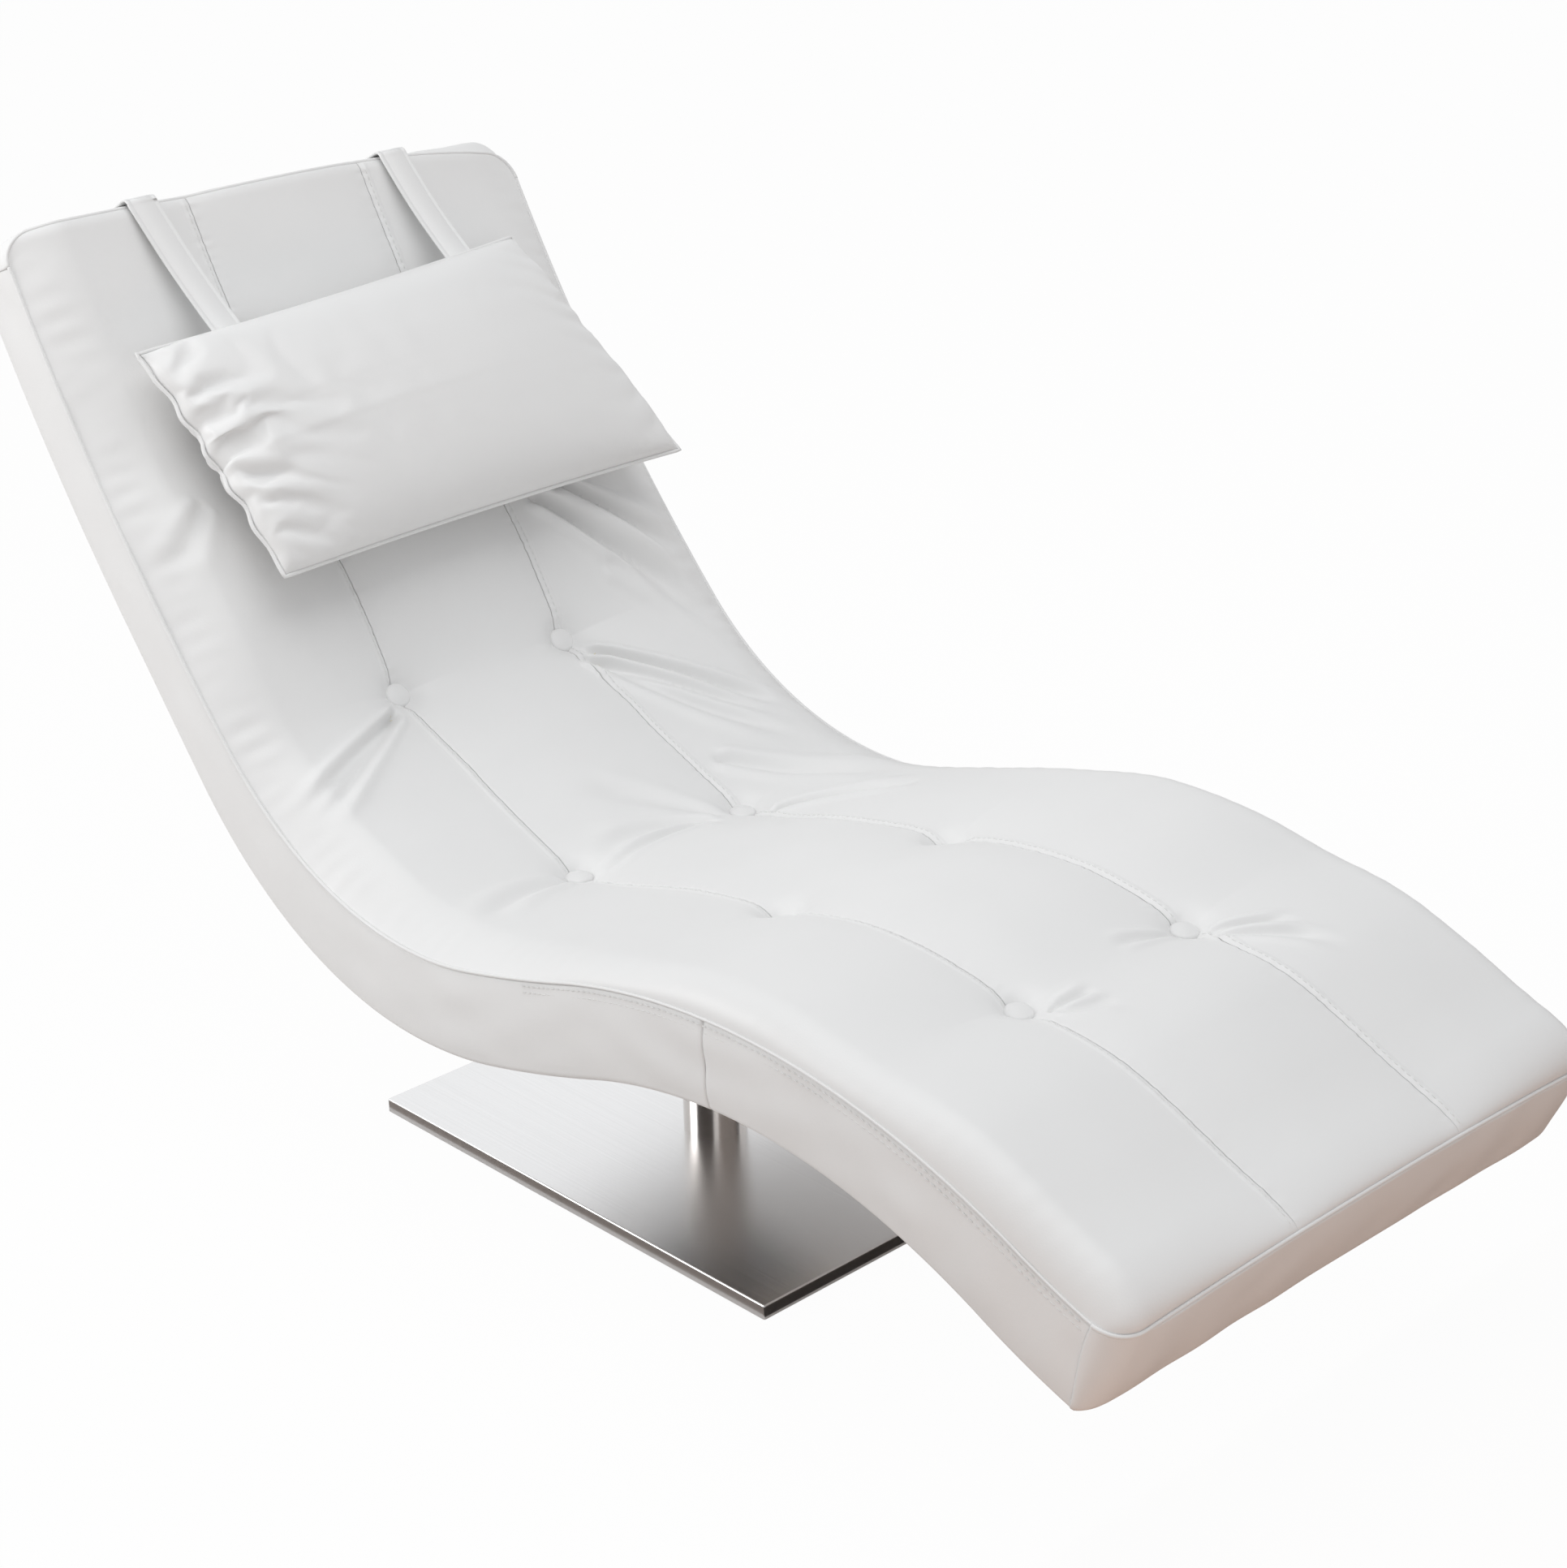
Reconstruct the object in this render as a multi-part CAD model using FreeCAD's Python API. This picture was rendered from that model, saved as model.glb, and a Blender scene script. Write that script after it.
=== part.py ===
import FreeCAD, Part
import math
import os

# Spa relaxation lounger: an S-shaped upholstered body that turns on a round column.
# The origin is on the swivel axis at the floor. +X runs to the foot, +Y to the lounger's left.
V = FreeCAD.Vector
UP = V(0, 0, 1)
ACROSS = V(0, 1, 0)

# Side profile: arcs along the seam between top panels and side bands, from head to foot
head_heading_angle = -61.66
back_length = 559.3
back_turn_angle = 14.84
hollow_length = 382.7
hollow_turn_angle = 59.07
rise_length = 138.6
rise_turn_angle = 4.75
knee_length = 553.5
knee_turn_angle = -42.54
flare_length = 112.8
flare_turn_angle = 9.56
axis_setback = 19.1
foot_rake_angle = 8.0
foot_rake_length = 300.0

# Body of the lounger
body_width = 630.0
back_thickness = 71.6
seat_thickness = 95.2
leg_thickness = 88.1
foot_thickness = 92.9
thickness_station_shares = (0.226, 0.48, 0.525, 0.762)
cover_thickness = 1.2
layer_gap = 0.3
piping_radius = 1.5
piping_gap = 0.7

# Crown of the top panels over the side seam, and the two lengthwise channels
crown_heights = (29.0, 28.0, 32.0, 18.0, 26.0, 34.0)
head_crown_height = 28.0
foot_crown_height = 19.0
channel_depth = 11.0
end_channel_depth = 2.0
tuft_channel_height = 1.0
tuft_crown_drop = 4.0
tuft_reach = 72.0
side_crown_extra = 1.0
shoulder_width = 46.0
shoulder_drop = 4.0
shoulder_width_share = 0.3
shoulder_height_share = 0.66
end_shoulder_drop = 2.0
channel_spacing_share = 0.343
channel_slit = 0.4
tuft_station_shares = (0.1445, 0.3165, 0.4906, 0.657, 0.823)
stations_per_panel = 4
head_stations = 4
foot_stations = 8

# Frame, deck and foam
deck_depth = 22.0
deck_thickness = 5.0
side_pad_thickness = 8.0
rail_thickness = 18.0
cross_rail_thickness = 18.0
cross_rail_station_shares = (0.018, 0.237, 0.412, 0.613, 0.751, 0.982)
frame_screw_length = 50.0
frame_screw_radius = 2.0
frame_screw_head_radius = 4.0
frame_screw_head_height = 2.4
frame_screw_clearance = 0.1
frame_screw_height_share = 0.25
band_join_ahead = 347.0
band_join_gap = 0.4

# Tufting
button_radius = 14.0
button_dome_height = 4.5
button_cone_height = 8.0
button_foot_radius = 2.5
button_clearance = 1.8
twine_radius = 1.0
twine_hole_clearance = 0.5
anchor_radius = 12.0
anchor_thickness = 3.0
anchor_clearance = 0.1
anchor_gap = 0.6

# Base plate
plate_length = 561.0
plate_width = 398.0
underlay_thickness = 2.0
underlay_inset = 4.0
core_thickness = 11.8
sheet_thickness = 1.2
sheet_fold_radius = 2.0
sheet_floor_gap = 0.5
sheet_fit = 0.1

# Column and swivel
column_radius = 32.0
column_wall = 2.5
column_height = 164.0
foot_plug_height = 20.0
foot_plug_bore_radius = 10.0
column_screw_radius = 4.0
column_screw_head_radius = 8.0
column_screw_head_height = 4.4
column_screw_length = 28.0
column_screw_circle_radius = 20.0
column_screw_count = 4
thread_clearance = 0.05
screw_clearance = 0.5
housing_height = 40.0
housing_flange = 4.0
plug_fit = 0.05
spindle_radius = 15.0
bush_wall = 3.0
bush_clearance = 0.05
bush_fit = 0.02
carrier_height = 20.0
carrier_station = 45.0
washer_thickness = 3.0
washer_radius = 30.0
washer_bore_clearance = 0.3
ball_radius = 3.175
ball_circle_radius = 23.0
ball_count = 14
ball_clearance = 0.02
cage_thickness = 3.0
cage_inner_radius = 18.0
cage_outer_radius = 28.0
cage_clearance = 0.15
retainer_radius = 22.0
retainer_thickness = 3.0
retainer_clearance = 0.3
retainer_screw_radius = 5.0
retainer_screw_head_radius = 8.5
retainer_screw_head_height = 6.4
retainer_screw_length = 25.0
cover_ring_wall = 2.0
cover_ring_clearance = 3.0
cover_ring_height = 20.0

# Mounting of the body on the spindle
mounting_plate_size = 160.0
mounting_plate_thickness = 6.0
mounting_plate_corner = 12.0
mounting_bolt_spacing = 120.0
mounting_bolt_radius = 4.0
mounting_bolt_head_radius = 7.5
mounting_bolt_head_height = 5.3
tee_nut_radius = 11.0
tee_nut_flange = 1.6
tee_nut_barrel_radius = 5.2
tee_nut_barrel_length = 11.0
block_thickness = 54.0
block_behind_axis = 110.0
block_ahead_of_axis = 100.0
block_pad_border = 6.0
block_opening_clearance = 2.0
block_screw_drop = 12.0
block_screw_inset = 25.0
seam_over_block = 48.5

# Pillow, its straps and their hook-and-loop patches
pillow_station = 279.0
pillow_shift = 19.5
pillow_height = 80.0
pillow_pitch_angle = 5.0
pillow_turn_angle = 4.5
pillow_length_share = 0.819
pillow_depth = 272.0
pillow_rise = 56.0
pillow_sag = 46.5
pillow_edge = 3.2
pillow_draw = 9.0
pillow_cover_thickness = 1.2
pillow_filling_gap = 0.6
pillow_travel = 50.0
pillow_length_shares = (-1.0, -0.94, -0.8, -0.5, 0.0, 0.5, 0.8, 0.94, 1.0)
strap_width = 38.0
strap_thickness = 2.0
strap_spacing_share = 0.502
strap_head_shift = -8.0
strap_bend_radius = 3.5
strap_bend_steps = 4
strap_touch_run = 6.0
strap_seam_gap = 0.5
tail_start = 72.0
tail_length = 180.0
patch_thickness = 1.5
hook_patch_length = 90.0
patch_margin = 10.0
patch_gap = 0.45
loop_patch_inset = 3.0

overrun = 5.0

# Worked out from the sizes above
seam_length = back_length + hollow_length + rise_length + knee_length + flare_length
axis_station = back_length + hollow_length - axis_setback
half_width = body_width / 2
channel_y = body_width * channel_spacing_share / 2
cover_offset = cover_thickness + layer_gap
band_edge = piping_radius + piping_gap
pad_outer_y = half_width - cover_offset
rail_outer_y = pad_outer_y - side_pad_thickness
rail_inner_y = rail_outer_y - rail_thickness
deck_under = deck_depth + deck_thickness
tube_inner_radius = column_radius - column_wall
plate_top_z = underlay_thickness + core_thickness + sheet_thickness
column_top_z = plate_top_z + column_height
housing_top_z = column_top_z + housing_flange
pillow_length = body_width * pillow_length_share
strap_spacing = body_width * strap_spacing_share
ball_center_z = housing_top_z + washer_thickness + ball_clearance + ball_radius
upper_washer_z = ball_center_z + ball_radius + ball_clearance
mounting_plate_z = upper_washer_z + washer_thickness
block_z = mounting_plate_z + mounting_plate_thickness
block_top_z = block_z + block_thickness
carrier_z = plate_top_z + carrier_station
bush_outer_radius = spindle_radius + bush_clearance + bush_wall
frame_end = cover_offset + side_pad_thickness
tuft_stations = [share * seam_length for share in tuft_station_shares]


def smooth(share):
    """A smooth step from 0 to 1."""
    share = min(max(share, 0.0), 1.0)
    return share * share * (3 - 2 * share)


def raw_seam(distance):
    """Place and heading on the chain of arcs, with the chain starting at zero."""
    x = 0.0
    z = 0.0
    heading = math.radians(head_heading_angle)
    arcs = (
        (back_length, back_turn_angle),
        (hollow_length, hollow_turn_angle),
        (rise_length, rise_turn_angle),
        (knee_length, knee_turn_angle),
        (flare_length, flare_turn_angle),
    )
    last = len(arcs) - 1
    for index, (length, turn) in enumerate(arcs):
        bend = math.radians(turn) / length
        run = distance if index == last else min(distance, length)
        x += (math.sin(heading + bend * run) - math.sin(heading)) / bend
        z += (math.cos(heading) - math.cos(heading + bend * run)) / bend
        heading += bend * run
        distance -= run
        if distance <= 0:
            break
    return x, z, heading


def seam(distance):
    """Place and heading on the seam in the object's frame: over the column it crosses the axis."""
    x, z, heading = raw_seam(distance)
    axis_x, axis_z, _ = raw_seam(axis_station)
    return V(x - axis_x, 0, z - axis_z + block_top_z + seam_over_block), heading


def station(distance):
    """Origin, direction and outward normal of the cross-section at a distance along the seam."""
    origin, heading = seam(distance)
    rake_share = smooth((distance - seam_length + foot_rake_length) / foot_rake_length)
    lean = heading - math.radians(foot_rake_angle) * rake_share
    along = V(math.cos(heading), 0, math.sin(heading))
    normal = V(-math.sin(lean), 0, math.cos(lean))
    return origin, along, normal


def at(distance, y, height):
    """Point of the cross-section at a distance along the seam."""
    origin, _, normal = station(distance)
    return origin + normal * height + ACROSS * y


def thickness_at(distance):
    """Height of the side band: it grows into the seat and eases off along the leg."""
    rise_start, rise_end, fall_start, fall_end = [s * seam_length for s in thickness_station_shares]
    grown = smooth((distance - rise_start) / (rise_end - rise_start))
    eased = smooth((distance - fall_start) / (fall_end - fall_start))
    last = smooth((distance - fall_end) / (seam_length - fall_end))
    thickness = back_thickness + (seat_thickness - back_thickness) * grown
    thickness += (leg_thickness - seat_thickness) * eased
    return thickness + (foot_thickness - leg_thickness) * last


def panel_stations():
    """Loft stations: at every tuft row, between rows and out to both ends."""
    stations = [tuft_stations[0] * i / head_stations for i in range(head_stations)]
    for first, second in zip(tuft_stations[:-1], tuft_stations[1:]):
        stations += [first + (second - first) * i / stations_per_panel for i in range(stations_per_panel)]
    rest = seam_length - tuft_stations[-1]
    stations += [tuft_stations[-1] + rest * i / foot_stations for i in range(foot_stations + 1)]
    return stations


def stations_between(start, end):
    """The loft stations inside a stretch, with the stretch's own ends."""
    margin = (end - start) / (len(panel_stations()) * stations_per_panel)
    inner = [s for s in panel_stations() if start + margin < s < end - margin]
    return [start] + inner + [end]


def crown_at(distance):
    """Crown height, side shoulder height and channel height at a station."""
    if distance <= 0 or distance >= seam_length:
        crown = head_crown_height if distance <= 0 else foot_crown_height
        return crown, crown - end_shoulder_drop, crown - end_channel_depth
    passed = sum(1 for tuft in tuft_stations if distance > tuft)
    gap_crown = crown_heights[passed]
    row = min(range(len(tuft_stations)), key=lambda i: abs(distance - tuft_stations[i]))
    row_shoulder = (crown_heights[row] + crown_heights[row + 1]) / 2 - shoulder_drop
    row_crown = row_shoulder - tuft_crown_drop
    share = smooth(abs(distance - tuft_stations[row]) / tuft_reach)
    crown = row_crown + (gap_crown - row_crown) * share
    shoulder = row_shoulder + (gap_crown - shoulder_drop - row_shoulder) * share
    channel = tuft_channel_height + (gap_crown - channel_depth - tuft_channel_height) * share
    return crown, shoulder, channel


def top_points(distance, inset):
    """Half of the top outline from the side seam to the middle, set in by the given amount."""
    crown, shoulder, channel = crown_at(distance)
    side_middle_y = (half_width - shoulder_width + channel_y) / 2
    rounding_y = half_width - shoulder_width * shoulder_width_share
    return (
        (half_width - inset, band_edge),
        (rounding_y - inset * shoulder_height_share, (shoulder - inset) * shoulder_height_share),
        (half_width - shoulder_width, shoulder - inset),
        (side_middle_y, crown + side_crown_extra - inset),
        (channel_y, channel - inset),
        (0, crown - inset),
    )


def line(a, b):
    return Part.LineSegment(a, b).toShape()


def arc(a, b, c):
    return Part.Arc(a, b, c).toShape()


def outline_wire(points):
    """Closed wire of straight edges."""
    return Part.makePolygon(list(points) + [points[0]])


def loft(wires, run=stations_per_panel, ruled=False):
    """Solid through closed wires, made in short runs so that the surface keeps to its sections."""
    faces = [Part.Face(wires[0]), Part.Face(wires[-1])]
    for first in range(0, len(wires) - 1, run):
        faces += Part.makeLoft(wires[first:first + run + 1], False, ruled).Faces
    skin = Part.Compound(faces)
    skin.sewShape()
    return Part.Solid(skin.Shells[0])


def strip(start, end, y0, y1, low, high):
    """A bar that follows the S shape between two widths and two heights, given as functions."""
    wires = []
    for s in stations_between(start, end):
        corners = (at(s, y0, low(s)), at(s, y1, low(s)), at(s, y1, high(s)), at(s, y0, high(s)))
        wires.append(outline_wire(corners))
    return loft(wires)


def level(height):
    """A height that stays the same along the whole length."""
    return lambda distance: height


def under_cover(distance):
    """Height of the frame's lower edge, just inside the back cover."""
    return -thickness_at(distance) + cover_offset


def tube(radius, bore, z, height):
    """A round tube or disc about the swivel axis."""
    body = Part.makeCylinder(radius, height, V(0, 0, z))
    if bore > 0:
        body = body.cut(Part.makeCylinder(bore, height + 2 * overrun, V(0, 0, z - overrun)))
    return body


def stand_on_normal(shape, distance, y, height):
    """Moves a shape built about +Z to a point of the body, with +Z along the outward normal."""
    _, _, normal = station(distance)
    placed = shape.copy()
    placed.Placement = FreeCAD.Placement(at(distance, y, height), FreeCAD.Rotation(UP, normal))
    return placed


def tuft_places():
    """Station and side of every tuft."""
    return [(s, side * channel_y) for s in tuft_stations for side in (-1, 1)]


# Base plate and column

def floor_underlay():
    size_x = plate_length - 2 * underlay_inset
    size_y = plate_width - 2 * underlay_inset
    return Part.makeBox(size_x, size_y, underlay_thickness, V(-size_x / 2, -size_y / 2, 0))


def column_screw_places():
    places = []
    for i in range(column_screw_count):
        angle = 2 * math.pi * (i + 1 / 2) / column_screw_count
        radius = column_screw_circle_radius
        places.append(V(radius * math.cos(angle), radius * math.sin(angle), underlay_thickness))
    return places


def base_core():
    """Heavy steel plate with countersunk holes for the column screws."""
    inset = sheet_thickness + sheet_fit
    size_x = plate_length - 2 * inset
    size_y = plate_width - 2 * inset
    core = Part.makeBox(size_x, size_y, core_thickness, V(-size_x / 2, -size_y / 2, underlay_thickness))
    hole_radius = column_screw_radius + screw_clearance
    sink_radius = column_screw_head_radius + screw_clearance
    sink_height = column_screw_head_height + screw_clearance
    for place in column_screw_places():
        core = core.cut(Part.makeCylinder(hole_radius, core_thickness + 2 * overrun, place - UP * overrun))
        core = core.cut(Part.makeCone(sink_radius, hole_radius, sink_height, place))
    return core


def base_cover():
    """Brushed sheet folded down over the core, pierced for the column screws."""
    low = sheet_floor_gap
    height = plate_top_z - low
    outer = Part.makeBox(plate_length, plate_width, height, V(-plate_length / 2, -plate_width / 2, low))
    top_edges = [e for e in outer.Edges if min(v.Z for v in e.Vertexes) > plate_top_z - layer_gap]
    upright_edges = [e for e in outer.Edges if abs(e.Vertexes[0].Z - e.Vertexes[1].Z) > layer_gap]
    outer = outer.makeFillet(sheet_fold_radius, top_edges + upright_edges)
    inner_x = plate_length - 2 * sheet_thickness
    inner_y = plate_width - 2 * sheet_thickness
    inner_height = height - sheet_thickness + overrun
    inner = Part.makeBox(inner_x, inner_y, inner_height, V(-inner_x / 2, -inner_y / 2, low - overrun))
    cover = outer.cut(inner)
    hole_radius = column_screw_radius + screw_clearance
    for place in column_screw_places():
        cover = cover.cut(Part.makeCylinder(hole_radius, plate_top_z + overrun, place))
    return cover


def column_tube():
    return tube(column_radius, tube_inner_radius, plate_top_z, column_height)


def column_foot_plug():
    """Disc inside the foot of the tube with the threads for the column screws."""
    plug = tube(tube_inner_radius - plug_fit, foot_plug_bore_radius, plate_top_z, foot_plug_height)
    hole_radius = column_screw_radius + thread_clearance
    for place in column_screw_places():
        plug = plug.cut(Part.makeCylinder(hole_radius, plate_top_z + foot_plug_height, place))
    return plug


def column_screws():
    screws = []
    for place in column_screw_places():
        head = Part.makeCone(column_screw_head_radius, column_screw_radius, column_screw_head_height, place)
        shank = Part.makeCylinder(column_screw_radius, column_screw_length, place)
        screws.append(head.fuse(shank))
    return Part.makeCompound(screws)


def column_head_housing():
    """Turned plug in the head of the tube: it holds the upper bush and carries the bearing."""
    bore = bush_outer_radius + bush_fit
    plug = tube(tube_inner_radius - plug_fit, bore, column_top_z - housing_height, housing_height)
    return plug.fuse(tube(column_radius, bore, column_top_z, housing_flange)).removeSplitter()


def swivel_bush(z, height):
    return tube(bush_outer_radius, spindle_radius + bush_clearance, z, height)


def lower_bush_carrier():
    return tube(tube_inner_radius - plug_fit, bush_outer_radius + bush_fit, carrier_z, carrier_height)


def thrust_washer(z):
    return tube(washer_radius, spindle_radius + washer_bore_clearance, z, washer_thickness)


def ball_places():
    places = []
    for i in range(ball_count):
        angle = 2 * math.pi * i / ball_count
        radius = ball_circle_radius
        places.append(V(radius * math.cos(angle), radius * math.sin(angle), ball_center_z))
    return places


def thrust_cage():
    cage = tube(cage_outer_radius, cage_inner_radius, ball_center_z - cage_thickness / 2, cage_thickness)
    pocket_radius = ball_radius + cage_clearance
    for place in ball_places():
        start = place - UP * (cage_thickness / 2 + overrun)
        cage = cage.cut(Part.makeCylinder(pocket_radius, cage_thickness + 2 * overrun, start))
    return cage


def thrust_balls():
    return Part.makeCompound([Part.makeSphere(ball_radius, place) for place in ball_places()])


def spindle():
    """Solid shaft under the mounting plate, tapped from below for the retaining screw."""
    bottom = carrier_z - retainer_clearance
    shaft = Part.makeCylinder(spindle_radius, mounting_plate_z - bottom, V(0, 0, bottom))
    hole_radius = retainer_screw_radius + thread_clearance
    start = V(0, 0, bottom - overrun)
    return shaft.cut(Part.makeCylinder(hole_radius, retainer_screw_length + 2 * overrun, start))


def retainer_washer():
    top = carrier_z - retainer_clearance
    return tube(retainer_radius, retainer_screw_radius + thread_clearance, top - retainer_thickness,
                retainer_thickness)


def retainer_screw():
    top = carrier_z - retainer_clearance - retainer_thickness
    head = Part.makeCylinder(retainer_screw_head_radius, retainer_screw_head_height,
                             V(0, 0, top - retainer_screw_head_height))
    length = retainer_thickness + retainer_screw_length
    shank = Part.makeCylinder(retainer_screw_radius, length, V(0, 0, top))
    return head.fuse(shank).removeSplitter()


def bearing_cover_ring():
    """Ring under the mounting plate that hides the bearing and keeps dust out."""
    bore = column_radius + cover_ring_clearance
    return tube(bore + cover_ring_wall, bore, mounting_plate_z - cover_ring_height, cover_ring_height)


# Mounting of the body

def mounting_bolt_places(z):
    offset = mounting_bolt_spacing / 2
    return [V(x, y, z) for x in (-offset, offset) for y in (-offset, offset)]


def mounting_plate():
    size = mounting_plate_size
    plate = Part.makeBox(size, size, mounting_plate_thickness, V(-size / 2, -size / 2, mounting_plate_z))
    corners = [e for e in plate.Edges if abs(e.Vertexes[0].Z - e.Vertexes[1].Z) > layer_gap]
    plate = plate.makeFillet(mounting_plate_corner, corners)
    hole_radius = mounting_bolt_radius + screw_clearance
    for place in mounting_bolt_places(mounting_plate_z - overrun):
        plate = plate.cut(Part.makeCylinder(hole_radius, mounting_plate_thickness + 2 * overrun, place))
    return plate


def mounting_bolts():
    bolts = []
    for place in mounting_bolt_places(mounting_plate_z):
        head = Part.makeCylinder(mounting_bolt_head_radius, mounting_bolt_head_height,
                                 place - UP * mounting_bolt_head_height)
        shank = Part.makeCylinder(mounting_bolt_radius, mounting_plate_thickness + block_thickness, place)
        bolts.append(head.fuse(shank).removeSplitter())
    return Part.makeCompound(bolts)


def mounting_tee_nuts():
    nuts = []
    bore = mounting_bolt_radius + thread_clearance
    for place in mounting_bolt_places(block_top_z):
        start = place - UP * tee_nut_barrel_length
        barrel = Part.makeCylinder(tee_nut_barrel_radius, tee_nut_barrel_length, start)
        flange = Part.makeCylinder(tee_nut_radius, tee_nut_flange, place)
        hole = Part.makeCylinder(bore, tee_nut_barrel_length + 2 * overrun, start - UP * overrun)
        nuts.append(barrel.fuse(flange).removeSplitter().cut(hole))
    return Part.makeCompound(nuts)


def block_pad(margin, depth):
    """Square foot of the mounting block, or its opening with a margin and a depth below it."""
    size = mounting_plate_size + 2 * (block_pad_border + margin)
    height = block_thickness / 2 + depth
    return Part.makeBox(size, size, height, V(-size / 2, -size / 2, block_z - depth))


def block_body():
    """The block's space between the rails, above the back cover."""
    size_y = 2 * (rail_inner_y - layer_gap)
    corner = V(-block_behind_axis, -size_y / 2, block_z)
    box = Part.makeBox(block_behind_axis + block_ahead_of_axis, size_y, block_thickness, corner)
    start = axis_station - block_behind_axis - mounting_plate_size
    end = axis_station + block_ahead_of_axis + mounting_plate_size
    return box.common(strip(start, end, -size_y, size_y, under_cover, level(0)))


def mounting_block():
    """Laminated board between the rails that the mounting plate is bolted to."""
    block = block_body().fuse(block_pad(0, 0)).removeSplitter()
    hole_radius = mounting_bolt_radius + screw_clearance
    for place in mounting_bolt_places(block_z - overrun):
        block = block.cut(Part.makeCylinder(hole_radius, block_thickness + 2 * overrun, place))
    for place in mounting_bolt_places(block_top_z - tee_nut_barrel_length):
        barrel_radius = tee_nut_barrel_radius + thread_clearance
        block = block.cut(Part.makeCylinder(barrel_radius, tee_nut_barrel_length + overrun, place))
    for side, place in block_screw_places():
        block = block.cut(frame_screw(side, place, frame_screw_clearance))
    return block


def block_screw_places():
    """Screws through the side rails into the ends of the block."""
    z = block_top_z - block_screw_drop
    stretch = (-block_behind_axis + block_screw_inset, block_ahead_of_axis - block_screw_inset)
    return [(side, V(x, side * rail_outer_y, z)) for x in stretch for side in (-1, 1)]


# Frame of the body

def frame_screw_places():
    """Every screw goes through a side rail into the end of a cross rail or the block."""
    places = []
    for index, share in enumerate(cross_rail_station_shares):
        s = share * seam_length
        top = -deck_under - layer_gap
        bottom = under_cover(s)
        for height_share in (frame_screw_height_share, 1 - frame_screw_height_share):
            height = bottom + (top - bottom) * height_share
            places += [(index, side, at(s, side * rail_outer_y, height)) for side in (-1, 1)]
    return places


def frame_screw(side, place, extra):
    """Countersunk screw pointing inward from a side rail, grown by a clearance for its hole."""
    direction = ACROSS * -side
    shank = Part.makeCylinder(frame_screw_radius + extra, frame_screw_length + extra, place, direction)
    head = Part.makeCone(frame_screw_head_radius + extra, frame_screw_radius + extra,
                         frame_screw_head_height + extra, place, direction)
    return head.fuse(shank).removeSplitter()


def frame_screws():
    screws = [frame_screw(side, place, 0) for _, side, place in frame_screw_places()]
    screws += [frame_screw(side, place, 0) for side, place in block_screw_places()]
    return Part.makeCompound(screws)


def side_rail(side):
    """S-shaped plywood rail under the deck, drilled for the frame screws."""
    y0 = side * rail_inner_y
    y1 = side * rail_outer_y
    top = level(-deck_under - layer_gap)
    rail = strip(frame_end, seam_length - frame_end, min(y0, y1), max(y0, y1), under_cover, top)
    screws = [screw[1:] for screw in frame_screw_places()] + block_screw_places()
    for screw_side, place in screws:
        if screw_side == side:
            rail = rail.cut(frame_screw(side, place, frame_screw_clearance))
    return rail


def cross_rail(index):
    """Straight rail between the two side rails."""
    s = cross_rail_station_shares[index] * seam_length
    half = cross_rail_thickness / 2
    y = rail_inner_y - layer_gap
    _, along, _ = station(s)
    top = -deck_under - 2 * layer_gap
    bottom = max(under_cover(s - half), under_cover(s + half)) + layer_gap
    corners = [at(s, -y, bottom), at(s, y, bottom), at(s, y, top), at(s, -y, top)]
    face = Part.Face(outline_wire([corner - along * half for corner in corners]))
    rail = face.extrude(along * cross_rail_thickness)
    for screw_index, side, place in frame_screw_places():
        if screw_index == index:
            rail = rail.cut(frame_screw(side, place, frame_screw_clearance))
    return rail


def deck():
    """Thin bent board on the rails, pierced for the tufting twine."""
    y = rail_outer_y
    board = strip(frame_end, seam_length - frame_end, -y, y, level(-deck_under), level(-deck_depth))
    return board.cut(twine_holes(twine_radius + 2 * twine_hole_clearance))


# Foam and cover

def foam_slab():
    """Top foam with the crown, the two channels and the tufts of the finished surface."""
    inset = cover_offset
    bottom = -deck_depth + layer_gap
    wires = []
    for s in stations_between(layer_gap, seam_length - layer_gap):
        half = [at(s, y, n) for y, n in top_points(nearest_section(s), inset)]
        other = [at(s, -y, n) for y, n in top_points(nearest_section(s), inset)]
        low_left = at(s, pad_outer_y, bottom)
        low_right = at(s, -pad_outer_y, bottom)
        wires.append(Part.Wire([
            line(low_right, low_left),
            line(low_left, half[0]),
            arc(half[0], half[1], half[2]),
            arc(half[2], half[3], half[4]),
            arc(half[4], half[5], other[4]),
            arc(other[4], other[3], other[2]),
            arc(other[2], other[1], other[0]),
            line(other[0], low_right),
        ]))
    return loft(wires).cut(twine_holes(twine_radius + twine_hole_clearance))


def nearest_section(distance):
    """End sections keep the end outline though they start a hair inside the ends."""
    if distance <= layer_gap:
        return 0
    if distance >= seam_length - layer_gap:
        return seam_length
    return distance


def side_pads():
    """Thin foam between each side rail and its side band."""
    pads = []
    top = level(-deck_depth - layer_gap)
    for side in (-1, 1):
        y0 = min(side * pad_outer_y, side * (rail_outer_y + layer_gap))
        y1 = max(side * pad_outer_y, side * (rail_outer_y + layer_gap))
        pads.append(strip(layer_gap, seam_length - layer_gap, y0, y1, under_cover, top))
    return Part.makeCompound(pads)


def end_pads():
    """Thin foam behind the head band and the foot band."""
    pads = []
    y = rail_outer_y
    top = level(-deck_depth - layer_gap)
    reach = frame_end - layer_gap
    for start in (layer_gap, seam_length - reach):
        end = start + reach - layer_gap
        pads.append(strip(start, end, -y, y, under_cover, top))
    return Part.makeCompound(pads)


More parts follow.
